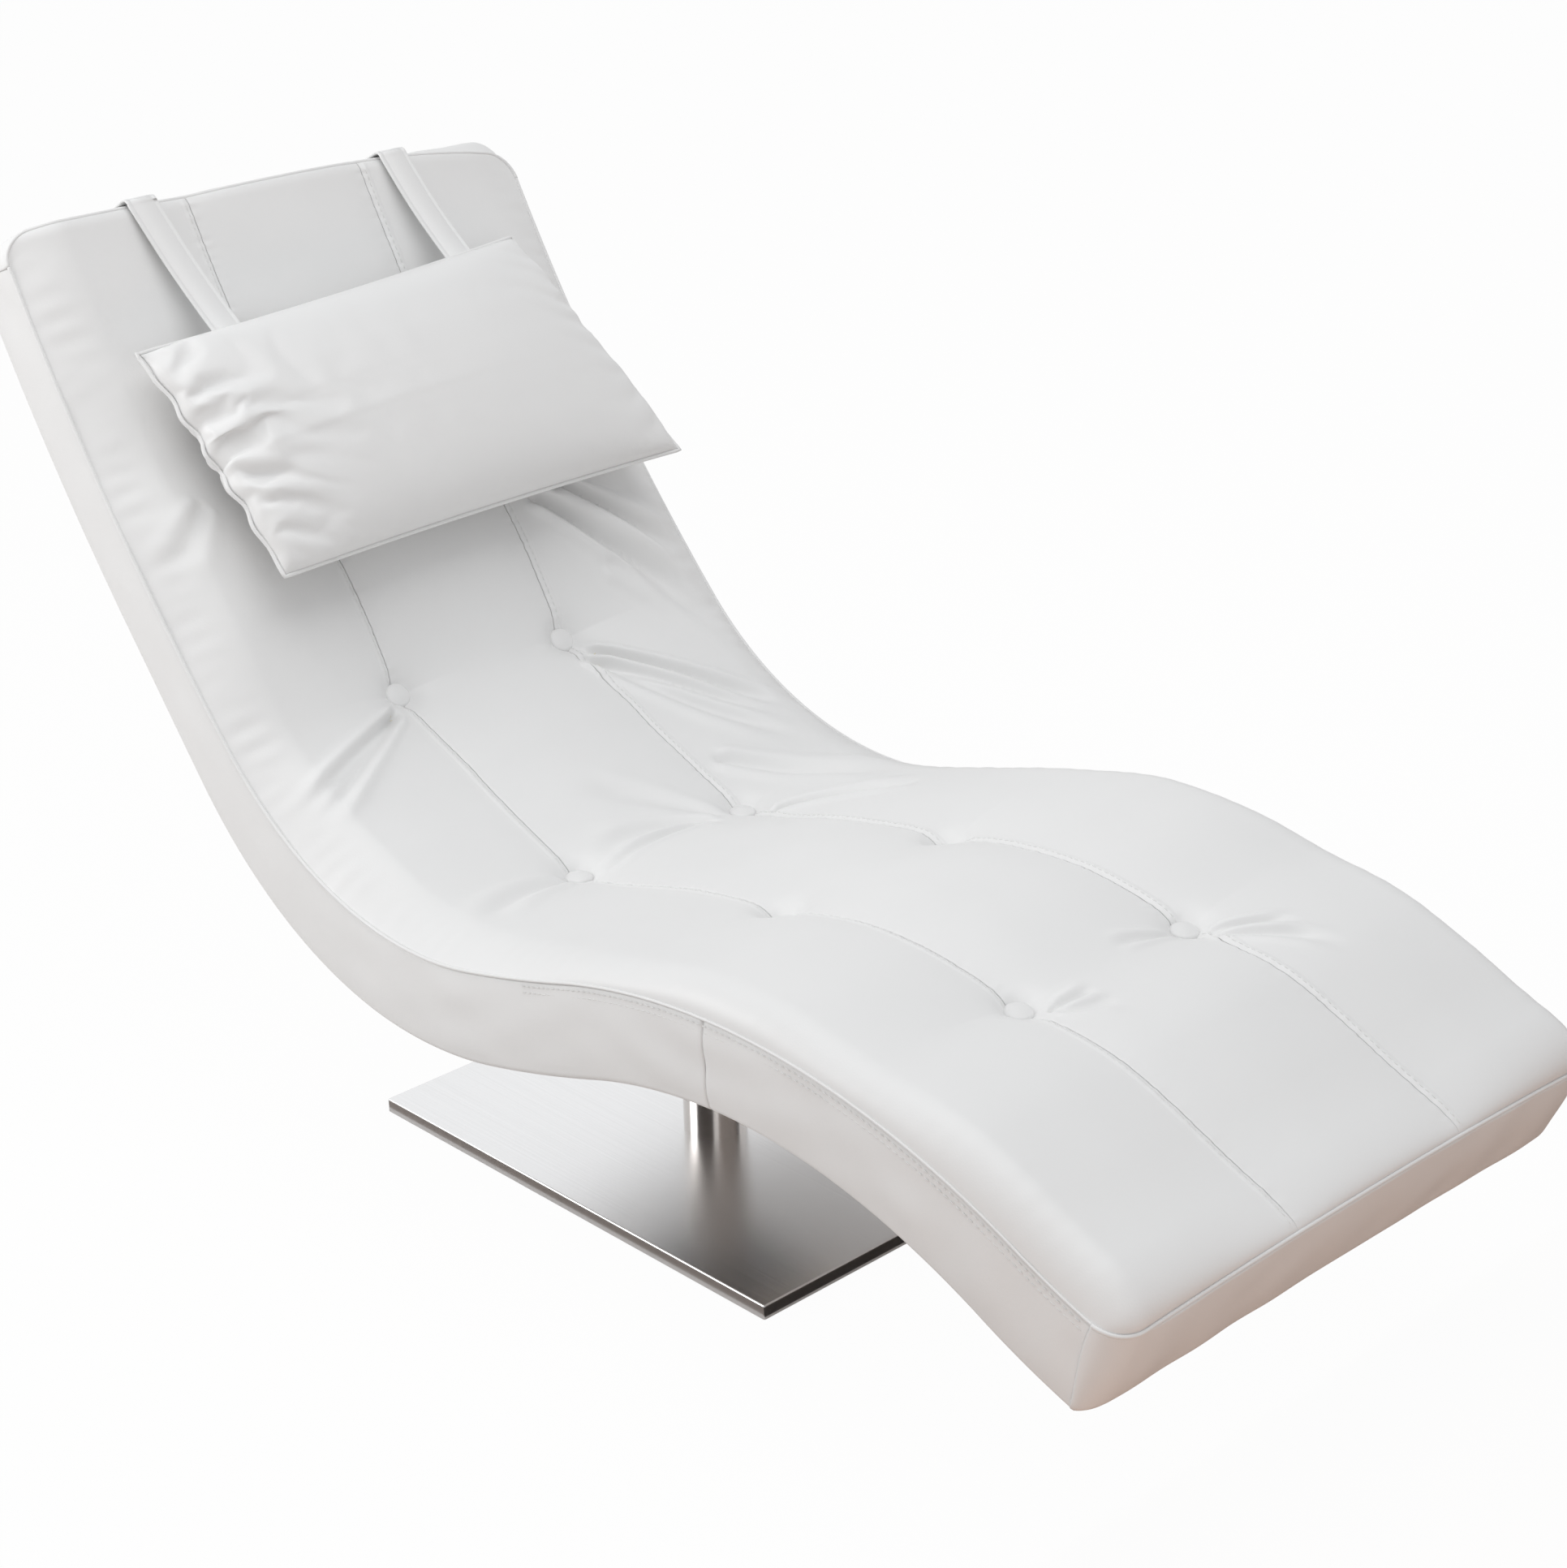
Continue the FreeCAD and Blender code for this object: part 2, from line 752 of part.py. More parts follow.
def side_panel(side):
    """Outer top panel: rounded at the side seam, crowned, and dipping into its channel."""
    wires = []
    for s in panel_stations():
        edge = channel_y + channel_slit / 2
        outer = [at(s, side * y, n) for y, n in top_points(s, 0)[:4]]
        inner = [at(s, side * y, n) for y, n in top_points(s, cover_thickness)[:4]]
        channel = crown_at(s)[2]
        outer_end = at(s, side * edge, channel)
        inner_end = at(s, side * edge, channel - cover_thickness)
        wires.append(Part.Wire([
            arc(outer[0], outer[1], outer[2]),
            arc(outer[2], outer[3], outer_end),
            line(outer_end, inner_end),
            arc(inner_end, inner[3], inner[2]),
            arc(inner[2], inner[1], inner[0]),
            line(inner[0], outer[0]),
        ]))
    return loft(wires).cut(twine_holes(twine_radius + twine_hole_clearance))


def centre_panel():
    """Middle top panel, crowned between the two channels."""
    wires = []
    edge = channel_y - channel_slit / 2
    for s in panel_stations():
        crown, _, channel = crown_at(s)
        low = channel - cover_thickness
        wires.append(Part.Wire([
            arc(at(s, -edge, channel), at(s, 0, crown), at(s, edge, channel)),
            line(at(s, edge, channel), at(s, edge, low)),
            arc(at(s, edge, low), at(s, 0, crown - cover_thickness), at(s, -edge, low)),
            line(at(s, -edge, low), at(s, -edge, channel)),
        ]))
    return loft(wires).cut(twine_holes(twine_radius + twine_hole_clearance))


def side_band(side, start, end):
    """Upholstery on the side, from the piping down to the lower edge."""
    y0 = min(side * half_width, side * (half_width - cover_thickness))
    y1 = max(side * half_width, side * (half_width - cover_thickness))
    lower_edge = lambda s: -thickness_at(s)
    return strip(start, end, y0, y1, lower_edge, level(-band_edge))


def end_outline(distance, lower):
    """Closed outline of the end of the body with its crowned top edge."""
    points = top_points(distance, 0)
    half = [at(distance, y, n - lower) for y, n in points]
    other = [at(distance, -y, n - lower) for y, n in points]
    bottom = -thickness_at(distance)
    low_left = at(distance, half_width, bottom)
    low_right = at(distance, -half_width, bottom)
    return Part.Wire([
        line(low_right, low_left),
        line(low_left, half[0]),
        arc(half[0], half[1], half[2]),
        arc(half[2], half[3], half[4]),
        arc(half[4], half[5], other[4]),
        arc(other[4], other[3], other[2]),
        arc(other[2], other[1], other[0]),
        line(other[0], low_right),
    ])


def end_direction(distance):
    """Outward direction of the flat end face at the head or the foot."""
    _, _, normal = station(distance)
    forward = ACROSS.cross(normal)
    return forward if distance > 0 else forward * -1


def end_band(distance):
    """Flat piece of cover that closes the head or the foot."""
    direction = end_direction(distance)
    face = Part.Face(end_outline(distance, 0))
    face.translate(direction * layer_gap)
    return face.extrude(direction * cover_thickness)


def back_cover():
    """Underside of the cover, with an opening where the mounting block comes through."""
    y = half_width - cover_offset
    lower_edge = lambda s: -thickness_at(s)
    upper_edge = lambda s: -thickness_at(s) + cover_thickness
    cover = strip(0, seam_length, -y, y, lower_edge, upper_edge)
    return cover.cut(block_pad(block_opening_clearance, 2 * overrun))


def ring(center, direction, radius):
    """Round wire of three arcs, square to a direction in the vertical plane or across it."""
    first = ACROSS if abs(direction.dot(ACROSS)) < 1 / 2 else UP
    first = (first - direction * first.dot(direction)).normalize()
    second = direction.cross(first).normalize()
    steps = 6
    points = []
    for i in range(steps):
        angle = 2 * math.pi * i / steps
        points.append(center + first * (radius * math.cos(angle)) + second * (radius * math.sin(angle)))
    return Part.Wire([arc(points[i], points[i + 1], points[(i + 2) % steps]) for i in range(0, steps, 2)])


def side_piping():
    """Thin piping cords in the side seams."""
    cords = []
    for side in (-1, 1):
        y = side * (half_width - cover_thickness + piping_radius)
        wires = []
        for s in panel_stations():
            _, along, _ = station(s)
            wires.append(ring(at(s, y, 0), along, piping_radius))
        cords.append(loft(wires))
    return Part.makeCompound(cords)


def arc_height(y, start, middle, end):
    """Height of the circle through three points of an outline at a given width."""
    ax, ay = middle[0] - start[0], middle[1] - start[1]
    bx, by = end[0] - start[0], end[1] - start[1]
    twice_area = 2 * (ax * by - ay * bx)
    aa = ax * ax + ay * ay
    bb = bx * bx + by * by
    cx = start[0] + (by * aa - ay * bb) / twice_area
    cy = start[1] + (ax * bb - bx * aa) / twice_area
    radius = math.hypot(start[0] - cx, start[1] - cy)
    return cy + math.sqrt(radius * radius - (y - cx) ** 2)


def top_height(distance, y):
    """Height of the top outline over the side seam at a given width, at a loft station."""
    points = top_points(distance, 0)
    y = abs(y)
    if y <= channel_y:
        mirrored = (-channel_y, points[4][1])
        return arc_height(y, mirrored, points[5], points[4])
    if y <= points[2][0]:
        return arc_height(y, points[2], points[3], points[4])
    return arc_height(y, points[0], points[1], points[2])


def end_piping():
    """Piping along the crowned edge of the head band and the foot band."""
    cords = []
    steps = 12
    reach = half_width - shoulder_width * shoulder_width_share
    for distance in (0, seam_length):
        direction = end_direction(distance)
        offset = direction * (layer_gap + cover_thickness + piping_gap + piping_radius)
        widths = [reach * (2 * i / steps - 1) for i in range(steps + 1)]
        centers = [at(distance, y, top_height(distance, y) - piping_radius) + offset for y in widths]
        wires = []
        for i, center in enumerate(centers):
            before = centers[max(i - 1, 0)]
            after = centers[min(i + 1, steps)]
            wires.append(ring(center, (after - before).normalize(), piping_radius))
        cords.append(loft(wires))
    return Part.makeCompound(cords)


# Tufting

def twine_holes(radius):
    """Holes along the twine of every tuft, through cover, foam and deck."""
    height = tuft_channel_height + deck_under + 2 * overrun
    hole = Part.makeCylinder(radius, height)
    holes = [stand_on_normal(hole, s, y, -deck_under - overrun) for s, y in tuft_places()]
    return Part.makeCompound(holes)


def button_foot_height():
    """How far the foot of a button stands over its channel, clear of the panels beside it."""
    beside = channel_y - button_foot_radius
    beyond = channel_y + button_foot_radius
    highest = max(top_height(row, y) for row in tuft_stations for y in (beside, beyond))
    return highest - tuft_channel_height + button_clearance


def tuft_buttons():
    """Covered buttons: a low dome over a cone that sits in the dimple."""
    foot = button_foot_height()
    rim = foot + button_cone_height
    cone = Part.makeCone(button_foot_radius, button_radius, button_cone_height, V(0, 0, foot))
    dome_radius = (button_radius ** 2 + button_dome_height ** 2) / (2 * button_dome_height)
    ball = Part.makeSphere(dome_radius, V(0, 0, rim + button_dome_height - dome_radius))
    dome = ball.common(Part.makeCylinder(button_radius, button_dome_height + overrun, V(0, 0, rim)))
    button = cone.fuse(dome).removeSplitter()
    height = tuft_channel_height
    return Part.makeCompound([stand_on_normal(button, s, y, height) for s, y in tuft_places()])


def tuft_anchors():
    """Washers under the deck that hold the tufting twine."""
    disc = Part.makeCylinder(anchor_radius, anchor_thickness)
    bore_radius = twine_radius + anchor_clearance
    disc = disc.cut(Part.makeCylinder(bore_radius, anchor_thickness + 2 * overrun, V(0, 0, -overrun)))
    return Part.makeCompound([stand_on_normal(disc, s, y, anchor_bottom()) for s, y in tuft_places()])


def anchor_bottom():
    return -deck_under - anchor_gap - anchor_thickness


def tuft_twines():
    """Twine from each button down to its anchor."""
    length = tuft_channel_height + button_foot_height() - anchor_bottom()
    twine = Part.makeCylinder(twine_radius, length)
    return Part.makeCompound([stand_on_normal(twine, s, y, anchor_bottom()) for s, y in tuft_places()])


# Pillow and straps

def pillow_frame():
    """Centre and axes of the pillow: across, down the slope, and outward."""
    origin, along, normal = station(pillow_station)
    pitch = math.radians(pillow_pitch_angle)
    turn = math.radians(pillow_turn_angle)
    down = along * math.cos(pitch) + normal * math.sin(pitch)
    outward = normal * math.cos(pitch) - along * math.sin(pitch)
    across = ACROSS * math.cos(turn) - down * math.sin(turn)
    down = ACROSS * math.sin(turn) + down * math.cos(turn)
    return origin + normal * pillow_height + ACROSS * pillow_shift, across, down, outward


def pillow_point(u, v, w):
    center, across, down, outward = pillow_frame()
    return center + across * u + down * v + outward * w


def pillow_section(share, inset):
    """Half depth, rise and sag of the pillow at a share of its half length."""
    fullness = math.sqrt(max(1 - share * share, 0))
    half_depth = pillow_depth / 2 - pillow_draw * (1 - share * share) - inset
    rise = max(pillow_rise * fullness, pillow_edge) - inset
    sag = max(pillow_sag * fullness, pillow_edge) - inset
    return half_depth, rise, sag


def pillow_place(share, inset):
    return share * (pillow_length / 2 - inset)


def pillow_filling():
    """Crowned filling of the pillow, drawn in along its long sides."""
    inset = pillow_cover_thickness + pillow_filling_gap
    wires = []
    for share in pillow_length_shares:
        half_depth, rise, sag = pillow_section(share, inset)
        u = pillow_place(share, inset)
        head_edge = pillow_point(u, -half_depth, 0)
        foot_edge = pillow_point(u, half_depth, 0)
        wires.append(Part.Wire([
            arc(head_edge, pillow_point(u, 0, rise), foot_edge),
            arc(foot_edge, pillow_point(u, 0, -sag), head_edge),
        ]))
    return loft(wires, len(wires))


def pillow_cover(side):
    """One half of the pillow cover: side 1 is the face, side -1 the back."""
    wires = []
    edge = side * layer_gap / 2
    for share in pillow_length_shares:
        half_depth, rise, sag = pillow_section(share, 0)
        bulge = rise if side > 0 else -sag
        u = pillow_place(share, 0)
        inner_depth = half_depth - pillow_cover_thickness
        inner_bulge = bulge - side * pillow_cover_thickness
        a = pillow_point(u, -half_depth, edge)
        b = pillow_point(u, half_depth, edge)
        c = pillow_point(u, inner_depth, edge)
        d = pillow_point(u, -inner_depth, edge)
        wires.append(Part.Wire([
            arc(a, pillow_point(u, 0, bulge), b),
            line(b, c),
            arc(c, pillow_point(u, 0, inner_bulge), d),
            line(d, a),
        ]))
    return loft(wires, len(wires))


def ribbon(path, width, thickness):
    """Flat strap along a path of points, each with its direction across and its outward normal."""
    wires = []
    for point, across, normal in path:
        half_across = across * (width / 2)
        half_up = normal * (thickness / 2)
        corners = (point - half_across - half_up, point + half_across - half_up,
                   point + half_across + half_up, point - half_across + half_up)
        wires.append(outline_wire(corners))
    return loft(wires, len(wires), ruled=True)


def strap_bend(center, start_angle, end_angle, y):
    """Points and normals of a bend in the frame of the head end."""
    origin, along, normal = station(0)
    path = []
    for i in range(strap_bend_steps + 1):
        angle = math.radians(start_angle + (end_angle - start_angle) * i / strap_bend_steps)
        outward = along * math.cos(angle) + normal * math.sin(angle)
        point = origin + along * center[0] + normal * center[1] + outward * strap_bend_radius
        path.append((point + ACROSS * y, ACROSS, outward))
    return path


def tail_level():
    """Depth of the middle of the strap tails under the seam: over both patches."""
    both_patches = 2 * patch_thickness + layer_gap + patch_gap
    return thickness_at(tail_center()) + both_patches + strap_thickness / 2


def tail_center():
    return tail_start + tail_length / 2


def strap(side):
    """Strap from the pillow's upper seam over the head end to its tail on the back."""
    y = strap_head_shift + side * strap_spacing / 2
    _, across, down, outward = pillow_frame()
    half_depth, _, _ = pillow_section((strap_spacing + strap_width) / pillow_length, 0)
    edge = pillow_point(side * strap_spacing / 2, -half_depth, 0)
    path = [(edge - down * strap_seam_gap, across, outward)]
    rest_gap = strap_seam_gap + strap_thickness / 2
    reach = strap_width / 2
    top = max(top_height(0, y - reach), top_height(0, y), top_height(0, y + reach)) + rest_gap
    face = layer_gap + cover_thickness + 2 * piping_radius + piping_gap + rest_gap
    bend_along = strap_bend_radius - face
    _, along, normal = station(0)
    path.append((at(0, y, top + layer_gap) + along * (bend_along + strap_touch_run), ACROSS, normal))
    path += strap_bend((bend_along, top - strap_bend_radius), 90, 180, y)
    back = -thickness_at(0) - rest_gap
    path += strap_bend((bend_along, back + strap_bend_radius), 180, 270, y)
    path.append((tail_point(tail_start, y), ACROSS, tail_frame()[2] * -1))
    return ribbon(path, strap_width, strap_thickness)


def tail_frame():
    """Straight run of the strap tails: they lie in one plane that touches the patches."""
    return station(tail_center())


def tail_point(distance, y):
    origin, along, normal = tail_frame()
    return origin + along * (distance - tail_center()) - normal * tail_level() + ACROSS * y


def strap_tail(side):
    """Straight end of a strap, held on the back by hook and loop."""
    y = strap_head_shift + side * strap_spacing / 2
    _, _, normal = tail_frame()
    start = tail_start + layer_gap
    end = start + tail_length
    path = [(tail_point(start, y), ACROSS, normal), (tail_point(end, y), ACROSS, normal)]
    return ribbon(path, strap_width, strap_thickness)


def hook_patches():
    """Hook patches on the inner side of the strap tails."""
    patches = []
    _, _, normal = tail_frame()
    lift = normal * ((strap_thickness + patch_thickness) / 2)
    for side in (-1, 1):
        y = strap_head_shift + side * strap_spacing / 2
        start = tail_point(tail_center() - hook_patch_length / 2, y) + lift
        end = tail_point(tail_center() + hook_patch_length / 2, y) + lift
        path = [(start, ACROSS, normal), (end, ACROSS, normal)]
        patches.append(ribbon(path, strap_width, patch_thickness))
    return Part.makeCompound(patches)


def loop_patches():
    """Loop patches on the back cover, long enough for the whole travel of the pillow."""
    patches = []
    reach = hook_patch_length / 2 + pillow_travel + patch_margin
    width = strap_width - 2 * loop_patch_inset
    high = lambda s: -thickness_at(s) - layer_gap
    low = lambda s: -thickness_at(s) - layer_gap - patch_thickness
    for side in (-1, 1):
        y = strap_head_shift + side * strap_spacing / 2
        start = tail_center() - reach
        end = tail_center() + reach
        patches.append(strip(start, end, y - width / 2, y + width / 2, low, high))
    return Part.makeCompound(patches)


def build():
    """Every separate piece by its name."""
    join = axis_station + band_join_ahead
    parts = {
        "floor_underlay": floor_underlay(),
        "base_core_plate": base_core(),
        "base_cover_sheet": base_cover(),
        "column_tube": column_tube(),
        "column_foot_plug": column_foot_plug(),
        "column_screws": column_screws(),
        "column_head_housing": column_head_housing(),
        "upper_bush": swivel_bush(column_top_z - housing_height, housing_height + housing_flange),
        "lower_bush_carrier": lower_bush_carrier(),
        "lower_bush": swivel_bush(carrier_z, carrier_height),
        "lower_thrust_washer": thrust_washer(housing_top_z),
        "thrust_cage": thrust_cage(),
        "thrust_balls": thrust_balls(),
        "upper_thrust_washer": thrust_washer(upper_washer_z),
        "swivel_spindle": spindle(),
        "retainer_washer": retainer_washer(),
        "retainer_screw": retainer_screw(),
        "bearing_cover_ring": bearing_cover_ring(),
        "mounting_plate": mounting_plate(),
        "mounting_bolts": mounting_bolts(),
        "mounting_tee_nuts": mounting_tee_nuts(),
        "mounting_block": mounting_block(),
        "side_rail_left": side_rail(1),
        "side_rail_right": side_rail(-1),
        "frame_screws": frame_screws(),
        "deck_board": deck(),
        "foam_slab": foam_slab(),
        "side_pads": side_pads(),
        "end_pads": end_pads(),
        "top_panel_centre": centre_panel(),
        "top_panel_left": side_panel(1),
        "top_panel_right": side_panel(-1),
        "side_band_left_head": side_band(1, 0, join - band_join_gap),
        "side_band_left_foot": side_band(1, join, seam_length),
        "side_band_right_head": side_band(-1, 0, join - band_join_gap),
        "side_band_right_foot": side_band(-1, join, seam_length),
        "head_band": end_band(0),
        "foot_band": end_band(seam_length),
        "back_cover": back_cover(),
        "side_piping": side_piping(),
        "end_piping": end_piping(),
        "tuft_buttons": tuft_buttons(),
        "tuft_twines": tuft_twines(),
        "tuft_anchors": tuft_anchors(),
        "pillow_filling": pillow_filling(),
        "pillow_cover_face": pillow_cover(1),
        "pillow_cover_back": pillow_cover(-1),
        "strap_left": strap(1),
        "strap_right": strap(-1),
        "strap_tail_left": strap_tail(1),
        "strap_tail_right": strap_tail(-1),
        "hook_patches": hook_patches(),
        "loop_patches": loop_patches(),
    }
    for index in range(len(cross_rail_station_shares)):
        parts["cross_rail_" + str(index + 1)] = cross_rail(index)
    return parts


os.makedirs("parts", exist_ok=True)
for name, shape in build().items():
    box = shape.BoundBox
    print(name, "solids", len(shape.Solids), "valid", shape.isValid())
    print("  x", round(box.XMin), round(box.XMax), "z", round(box.ZMin), round(box.ZMax))
    shape.exportStep("parts/" + name + ".step")
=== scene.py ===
import math

import bpy
import numpy as np
from mathutils import Matrix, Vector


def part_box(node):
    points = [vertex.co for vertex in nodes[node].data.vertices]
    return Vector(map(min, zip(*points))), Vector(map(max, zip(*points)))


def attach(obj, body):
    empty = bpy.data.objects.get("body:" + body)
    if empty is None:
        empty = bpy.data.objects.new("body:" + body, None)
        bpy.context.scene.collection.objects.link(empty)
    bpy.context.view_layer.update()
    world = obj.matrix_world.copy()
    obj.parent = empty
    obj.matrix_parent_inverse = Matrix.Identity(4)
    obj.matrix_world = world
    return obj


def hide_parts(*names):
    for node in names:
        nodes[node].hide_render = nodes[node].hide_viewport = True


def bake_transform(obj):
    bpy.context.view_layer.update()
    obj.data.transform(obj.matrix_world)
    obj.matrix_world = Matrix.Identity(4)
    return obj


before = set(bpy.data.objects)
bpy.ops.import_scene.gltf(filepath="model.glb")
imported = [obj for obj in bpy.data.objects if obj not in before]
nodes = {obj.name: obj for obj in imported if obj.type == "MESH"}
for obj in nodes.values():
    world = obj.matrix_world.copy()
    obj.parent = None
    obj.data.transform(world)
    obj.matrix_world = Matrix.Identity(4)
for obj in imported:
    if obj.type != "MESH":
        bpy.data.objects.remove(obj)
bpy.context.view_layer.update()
acrossBody = np.array([0.0, 1.0, 0.0])  # from the near side to the far side
tiny = 1e-12  # the shortest length that anything is divided by

# The camera stands where the photograph was taken from: its pixels were fitted to the frame's own edges
photo = {"width": 1931, "height": 1932, "focalPixels": 4002.7, "sensor": 36.0, "clipEnd": 60.0}
cameraPlace = {"place": (2.13666, -1.91688, 1.62314), "azimuth": 46.60, "elevation": 23.32, "roll": -1.15}


# A new object in the scene, from a mesh, a camera or a lamp
def addObject(name, data):
    made = bpy.data.objects.new(name, data)
    bpy.context.scene.collection.objects.link(made)
    return made


# Puts a camera or a lamp in its place: the matrix's columns are its right, its top and the reverse of its aim
def aimObject(thing, place, right, top, ahead):
    rows = [[right[i], top[i], -ahead[i], place[i]] for i in range(3)] + [[0, 0, 0, 1]]
    thing.matrix_world = Matrix(rows)


# Azimuth and elevation give where the camera looks, and the roll turns its right and top round that line
def setCamera():
    az, el, roll = (math.radians(cameraPlace[key]) for key in ("azimuth", "elevation", "roll"))
    ahead = np.array([-math.sin(az) * math.cos(el), math.cos(az) * math.cos(el), -math.sin(el)])
    side = np.array([math.cos(az), math.sin(az), 0.0])
    above = np.cross(side, ahead)
    right = math.cos(roll) * side + math.sin(roll) * above
    top = math.cos(roll) * above - math.sin(roll) * side
    data = bpy.data.cameras.new("photoCamera")
    data.sensor_width = photo["sensor"]
    data.lens = photo["focalPixels"] / max(photo["width"], photo["height"]) * photo["sensor"]
    data.clip_end = photo["clipEnd"]
    camera = addObject("photoCamera", data)
    aimObject(camera, cameraPlace["place"], right, top, ahead)
    bpy.context.scene.camera = camera


setCamera()
print("camera set")


# Wire wraps a socket, so that shader maths reads as an expression
class Wire:
    def __init__(self, graph, socket):
        self.graph = graph
        self.socket = socket

    def __add__(self, other):
        return self.graph.maths("ADD", self, other)

    def __sub__(self, other):
        return self.graph.maths("SUBTRACT", self, other)

    def __rsub__(self, other):
        return self.graph.maths("SUBTRACT", other, self)

    def __mul__(self, other):
        return self.graph.maths("MULTIPLY", self, other)

    __radd__ = __add__
    __rmul__ = __mul__


# Graph holds the nodes of one material, or of the world
class Graph:
    def __init__(self, owner):
        owner.use_nodes = True
        self.owner = owner
        self.tree = owner.node_tree
        self.tree.nodes.clear()

    # One node: its settings come first, then the values or wires of its sockets
    def node(self, kind, settings=None, sockets=None):
        made = self.tree.nodes.new(kind)
        for key, value in (settings or {}).items():
            setattr(made, key, value)
        for key, value in (sockets or {}).items():
            if isinstance(value, Wire):
                self.tree.links.new(value.socket, made.inputs[key])
            else:
                made.inputs[key].default_value = value
        return made

    # The same node, as a wire from one of its outputs
    def wire(self, kind, settings=None, sockets=None, output=0):
        return Wire(self, self.node(kind, settings, sockets).outputs[output])

    def maths(self, operation, first, second):
        return self.wire("ShaderNodeMath", {"operation": operation}, {0: first, 1: second})

    # The object's own coordinates, times a scale along each axis
    def objectPoint(self, scale=(1, 1, 1)):
        point = self.wire("ShaderNodeTexCoord", output="Object")
        return self.wire("ShaderNodeMapping", None, {"Vector": point, "Scale": scale})

    def noise(self, vector, scale, detail=2.0, roughness=0.5):
        return self.wire("ShaderNodeTexNoise", None,
                         {"Vector": vector, "Scale": scale, "Detail": detail, "Roughness": roughness})

    # Sockets 6 and 7 of a colour mix are its two colours, and output 2 is the mixed one
    def mixColour(self, factor, first, second):
        return self.wire("ShaderNodeMix", {"data_type": "RGBA"},
                         {"Factor": factor, 6: (*first, 1.0), 7: (*second, 1.0)}, 2)

    # Lifts the surface by a height times a distance, on top of another bump if one is given
    def bump(self, height, strength, distance, normal=None):
        sockets = {"Height": height, "Strength": strength, "Distance": distance}
        if normal is not None:
            sockets["Normal"] = normal
        return self.wire("ShaderNodeBump", None, sockets)

    # One shader with these sockets, and the material that it makes
    def finish(self, sockets):
        shader = self.wire("ShaderNodeBsdfPrincipled", None, sockets)
        self.node("ShaderNodeOutputMaterial", None, {0: shader})
        return self.owner


noiseMiddle = 0.5  # what a noise texture gives on average
leatherLook = {
    "pale": (0.86, 0.86, 0.855), "shade": (0.83, 0.83, 0.825), "rough": 0.40, "roughSpread": 0.10,
    "pebbleRough": 0.06, "specular": 0.42, "cloudScale": 9.0, "cloudDetail": 3.0,
    "grainScale": 620.0, "grainSmooth": 0.6, "grainStrength": 0.35, "grainDepth": 0.00012,
    "creaseScale": 55.0, "creaseDetail": 4.0, "creaseFine": 0.6, "creaseStrength": 0.30, "creaseDepth": 0.0006,
}


# Soft artificial leather: a fine pebble grain over faint creases, a little smoother on the pebbles
def makeLeather(name):
    g = Graph(bpy.data.materials.new(name))
    look = leatherLook
    point = g.objectPoint()
    pebbles = g.wire("ShaderNodeTexVoronoi", {"feature": "SMOOTH_F1"},
                     {"Vector": point, "Scale": look["grainScale"], "Smoothness": look["grainSmooth"]})
    cloud = g.noise(point, look["cloudScale"], look["cloudDetail"])
    crease = g.noise(point, look["creaseScale"], look["creaseDetail"], look["creaseFine"])
    grained = g.bump(pebbles, look["grainStrength"], look["grainDepth"])
    creased = g.bump(crease, look["creaseStrength"], look["creaseDepth"], grained)
    rough = look["rough"] + (cloud - noiseMiddle) * look["roughSpread"] + pebbles * look["pebbleRough"]
    return g.finish({"Base Color": g.mixColour(cloud, look["shade"], look["pale"]), "Roughness": rough,
                     "Normal": creased, "Specular IOR Level": look["specular"]})


metalLook = {"streakDetail": 4.0, "streakFine": 0.65, "smearScale": 7.0, "smearDetail": 3.0, "smearSpread": 0.06,
             "darkShare": 0.86, "bumpStrength": 0.10, "bumpDepth": 0.0002}


# Brushed or polished metal: noise stretched along one direction gives the streaks, and a wide one smears the gloss
def makeBrushed(name, colour, along, rough, spread):
    g = Graph(bpy.data.materials.new(name))
    look = metalLook
    streaks = g.noise(g.objectPoint(along), 1.0, look["streakDetail"], look["streakFine"])
    smear = g.noise(g.objectPoint(), look["smearScale"], look["smearDetail"])
    dark = tuple(c * look["darkShare"] for c in colour)
    roughness = rough + (streaks - noiseMiddle) * spread + (smear - noiseMiddle) * look["smearSpread"]
    return g.finish({"Base Color": g.mixColour(streaks, dark, colour), "Metallic": 1.0, "Roughness": roughness,
                     "Normal": g.bump(streaks, look["bumpStrength"], look["bumpDepth"])})


plainLook = {"detail": 4.0, "fine": 0.6, "roughSpread": 0.15, "bumpStrength": 0.2}


# Plain finish: one grain noise darkens the colour by a share, roughens the gloss and lifts the surface
def makePlain(name, colour, rough, scale, depth, spread=0.12, metallic=0.0):
    g = Graph(bpy.data.materials.new(name))
    look = plainLook
    grain = g.noise(g.objectPoint(), scale, look["detail"], look["fine"])
    dark = tuple(c * (1.0 - spread) for c in colour)
    return g.finish({"Base Color": g.mixColour(grain, dark, colour), "Metallic": metallic,
                     "Roughness": rough + (grain - noiseMiddle) * look["roughSpread"],
                     "Normal": g.bump(grain, look["bumpStrength"], depth)})


woodLook = {"dark": (0.42, 0.29, 0.17), "pale": (0.74, 0.58, 0.39), "along": (3.0, 60.0, 60.0), "detail": 5.0,
            "fine": 0.6, "rough": 0.62, "roughSpread": 0.2, "bumpStrength": 0.3, "bumpDepth": 0.0003}


# Plywood: noise stretched along the body gives the grain
def makeWood(name):
    g = Graph(bpy.data.materials.new(name))
    look = woodLook
    grain = g.noise(g.objectPoint(look["along"]), 1.0, look["detail"], look["fine"])
    return g.finish({"Base Color": g.mixColour(grain, look["dark"], look["pale"]),
                     "Roughness": look["rough"] + (grain - noiseMiddle) * look["roughSpread"],
                     "Normal": g.bump(grain, look["bumpStrength"], look["bumpDepth"])})


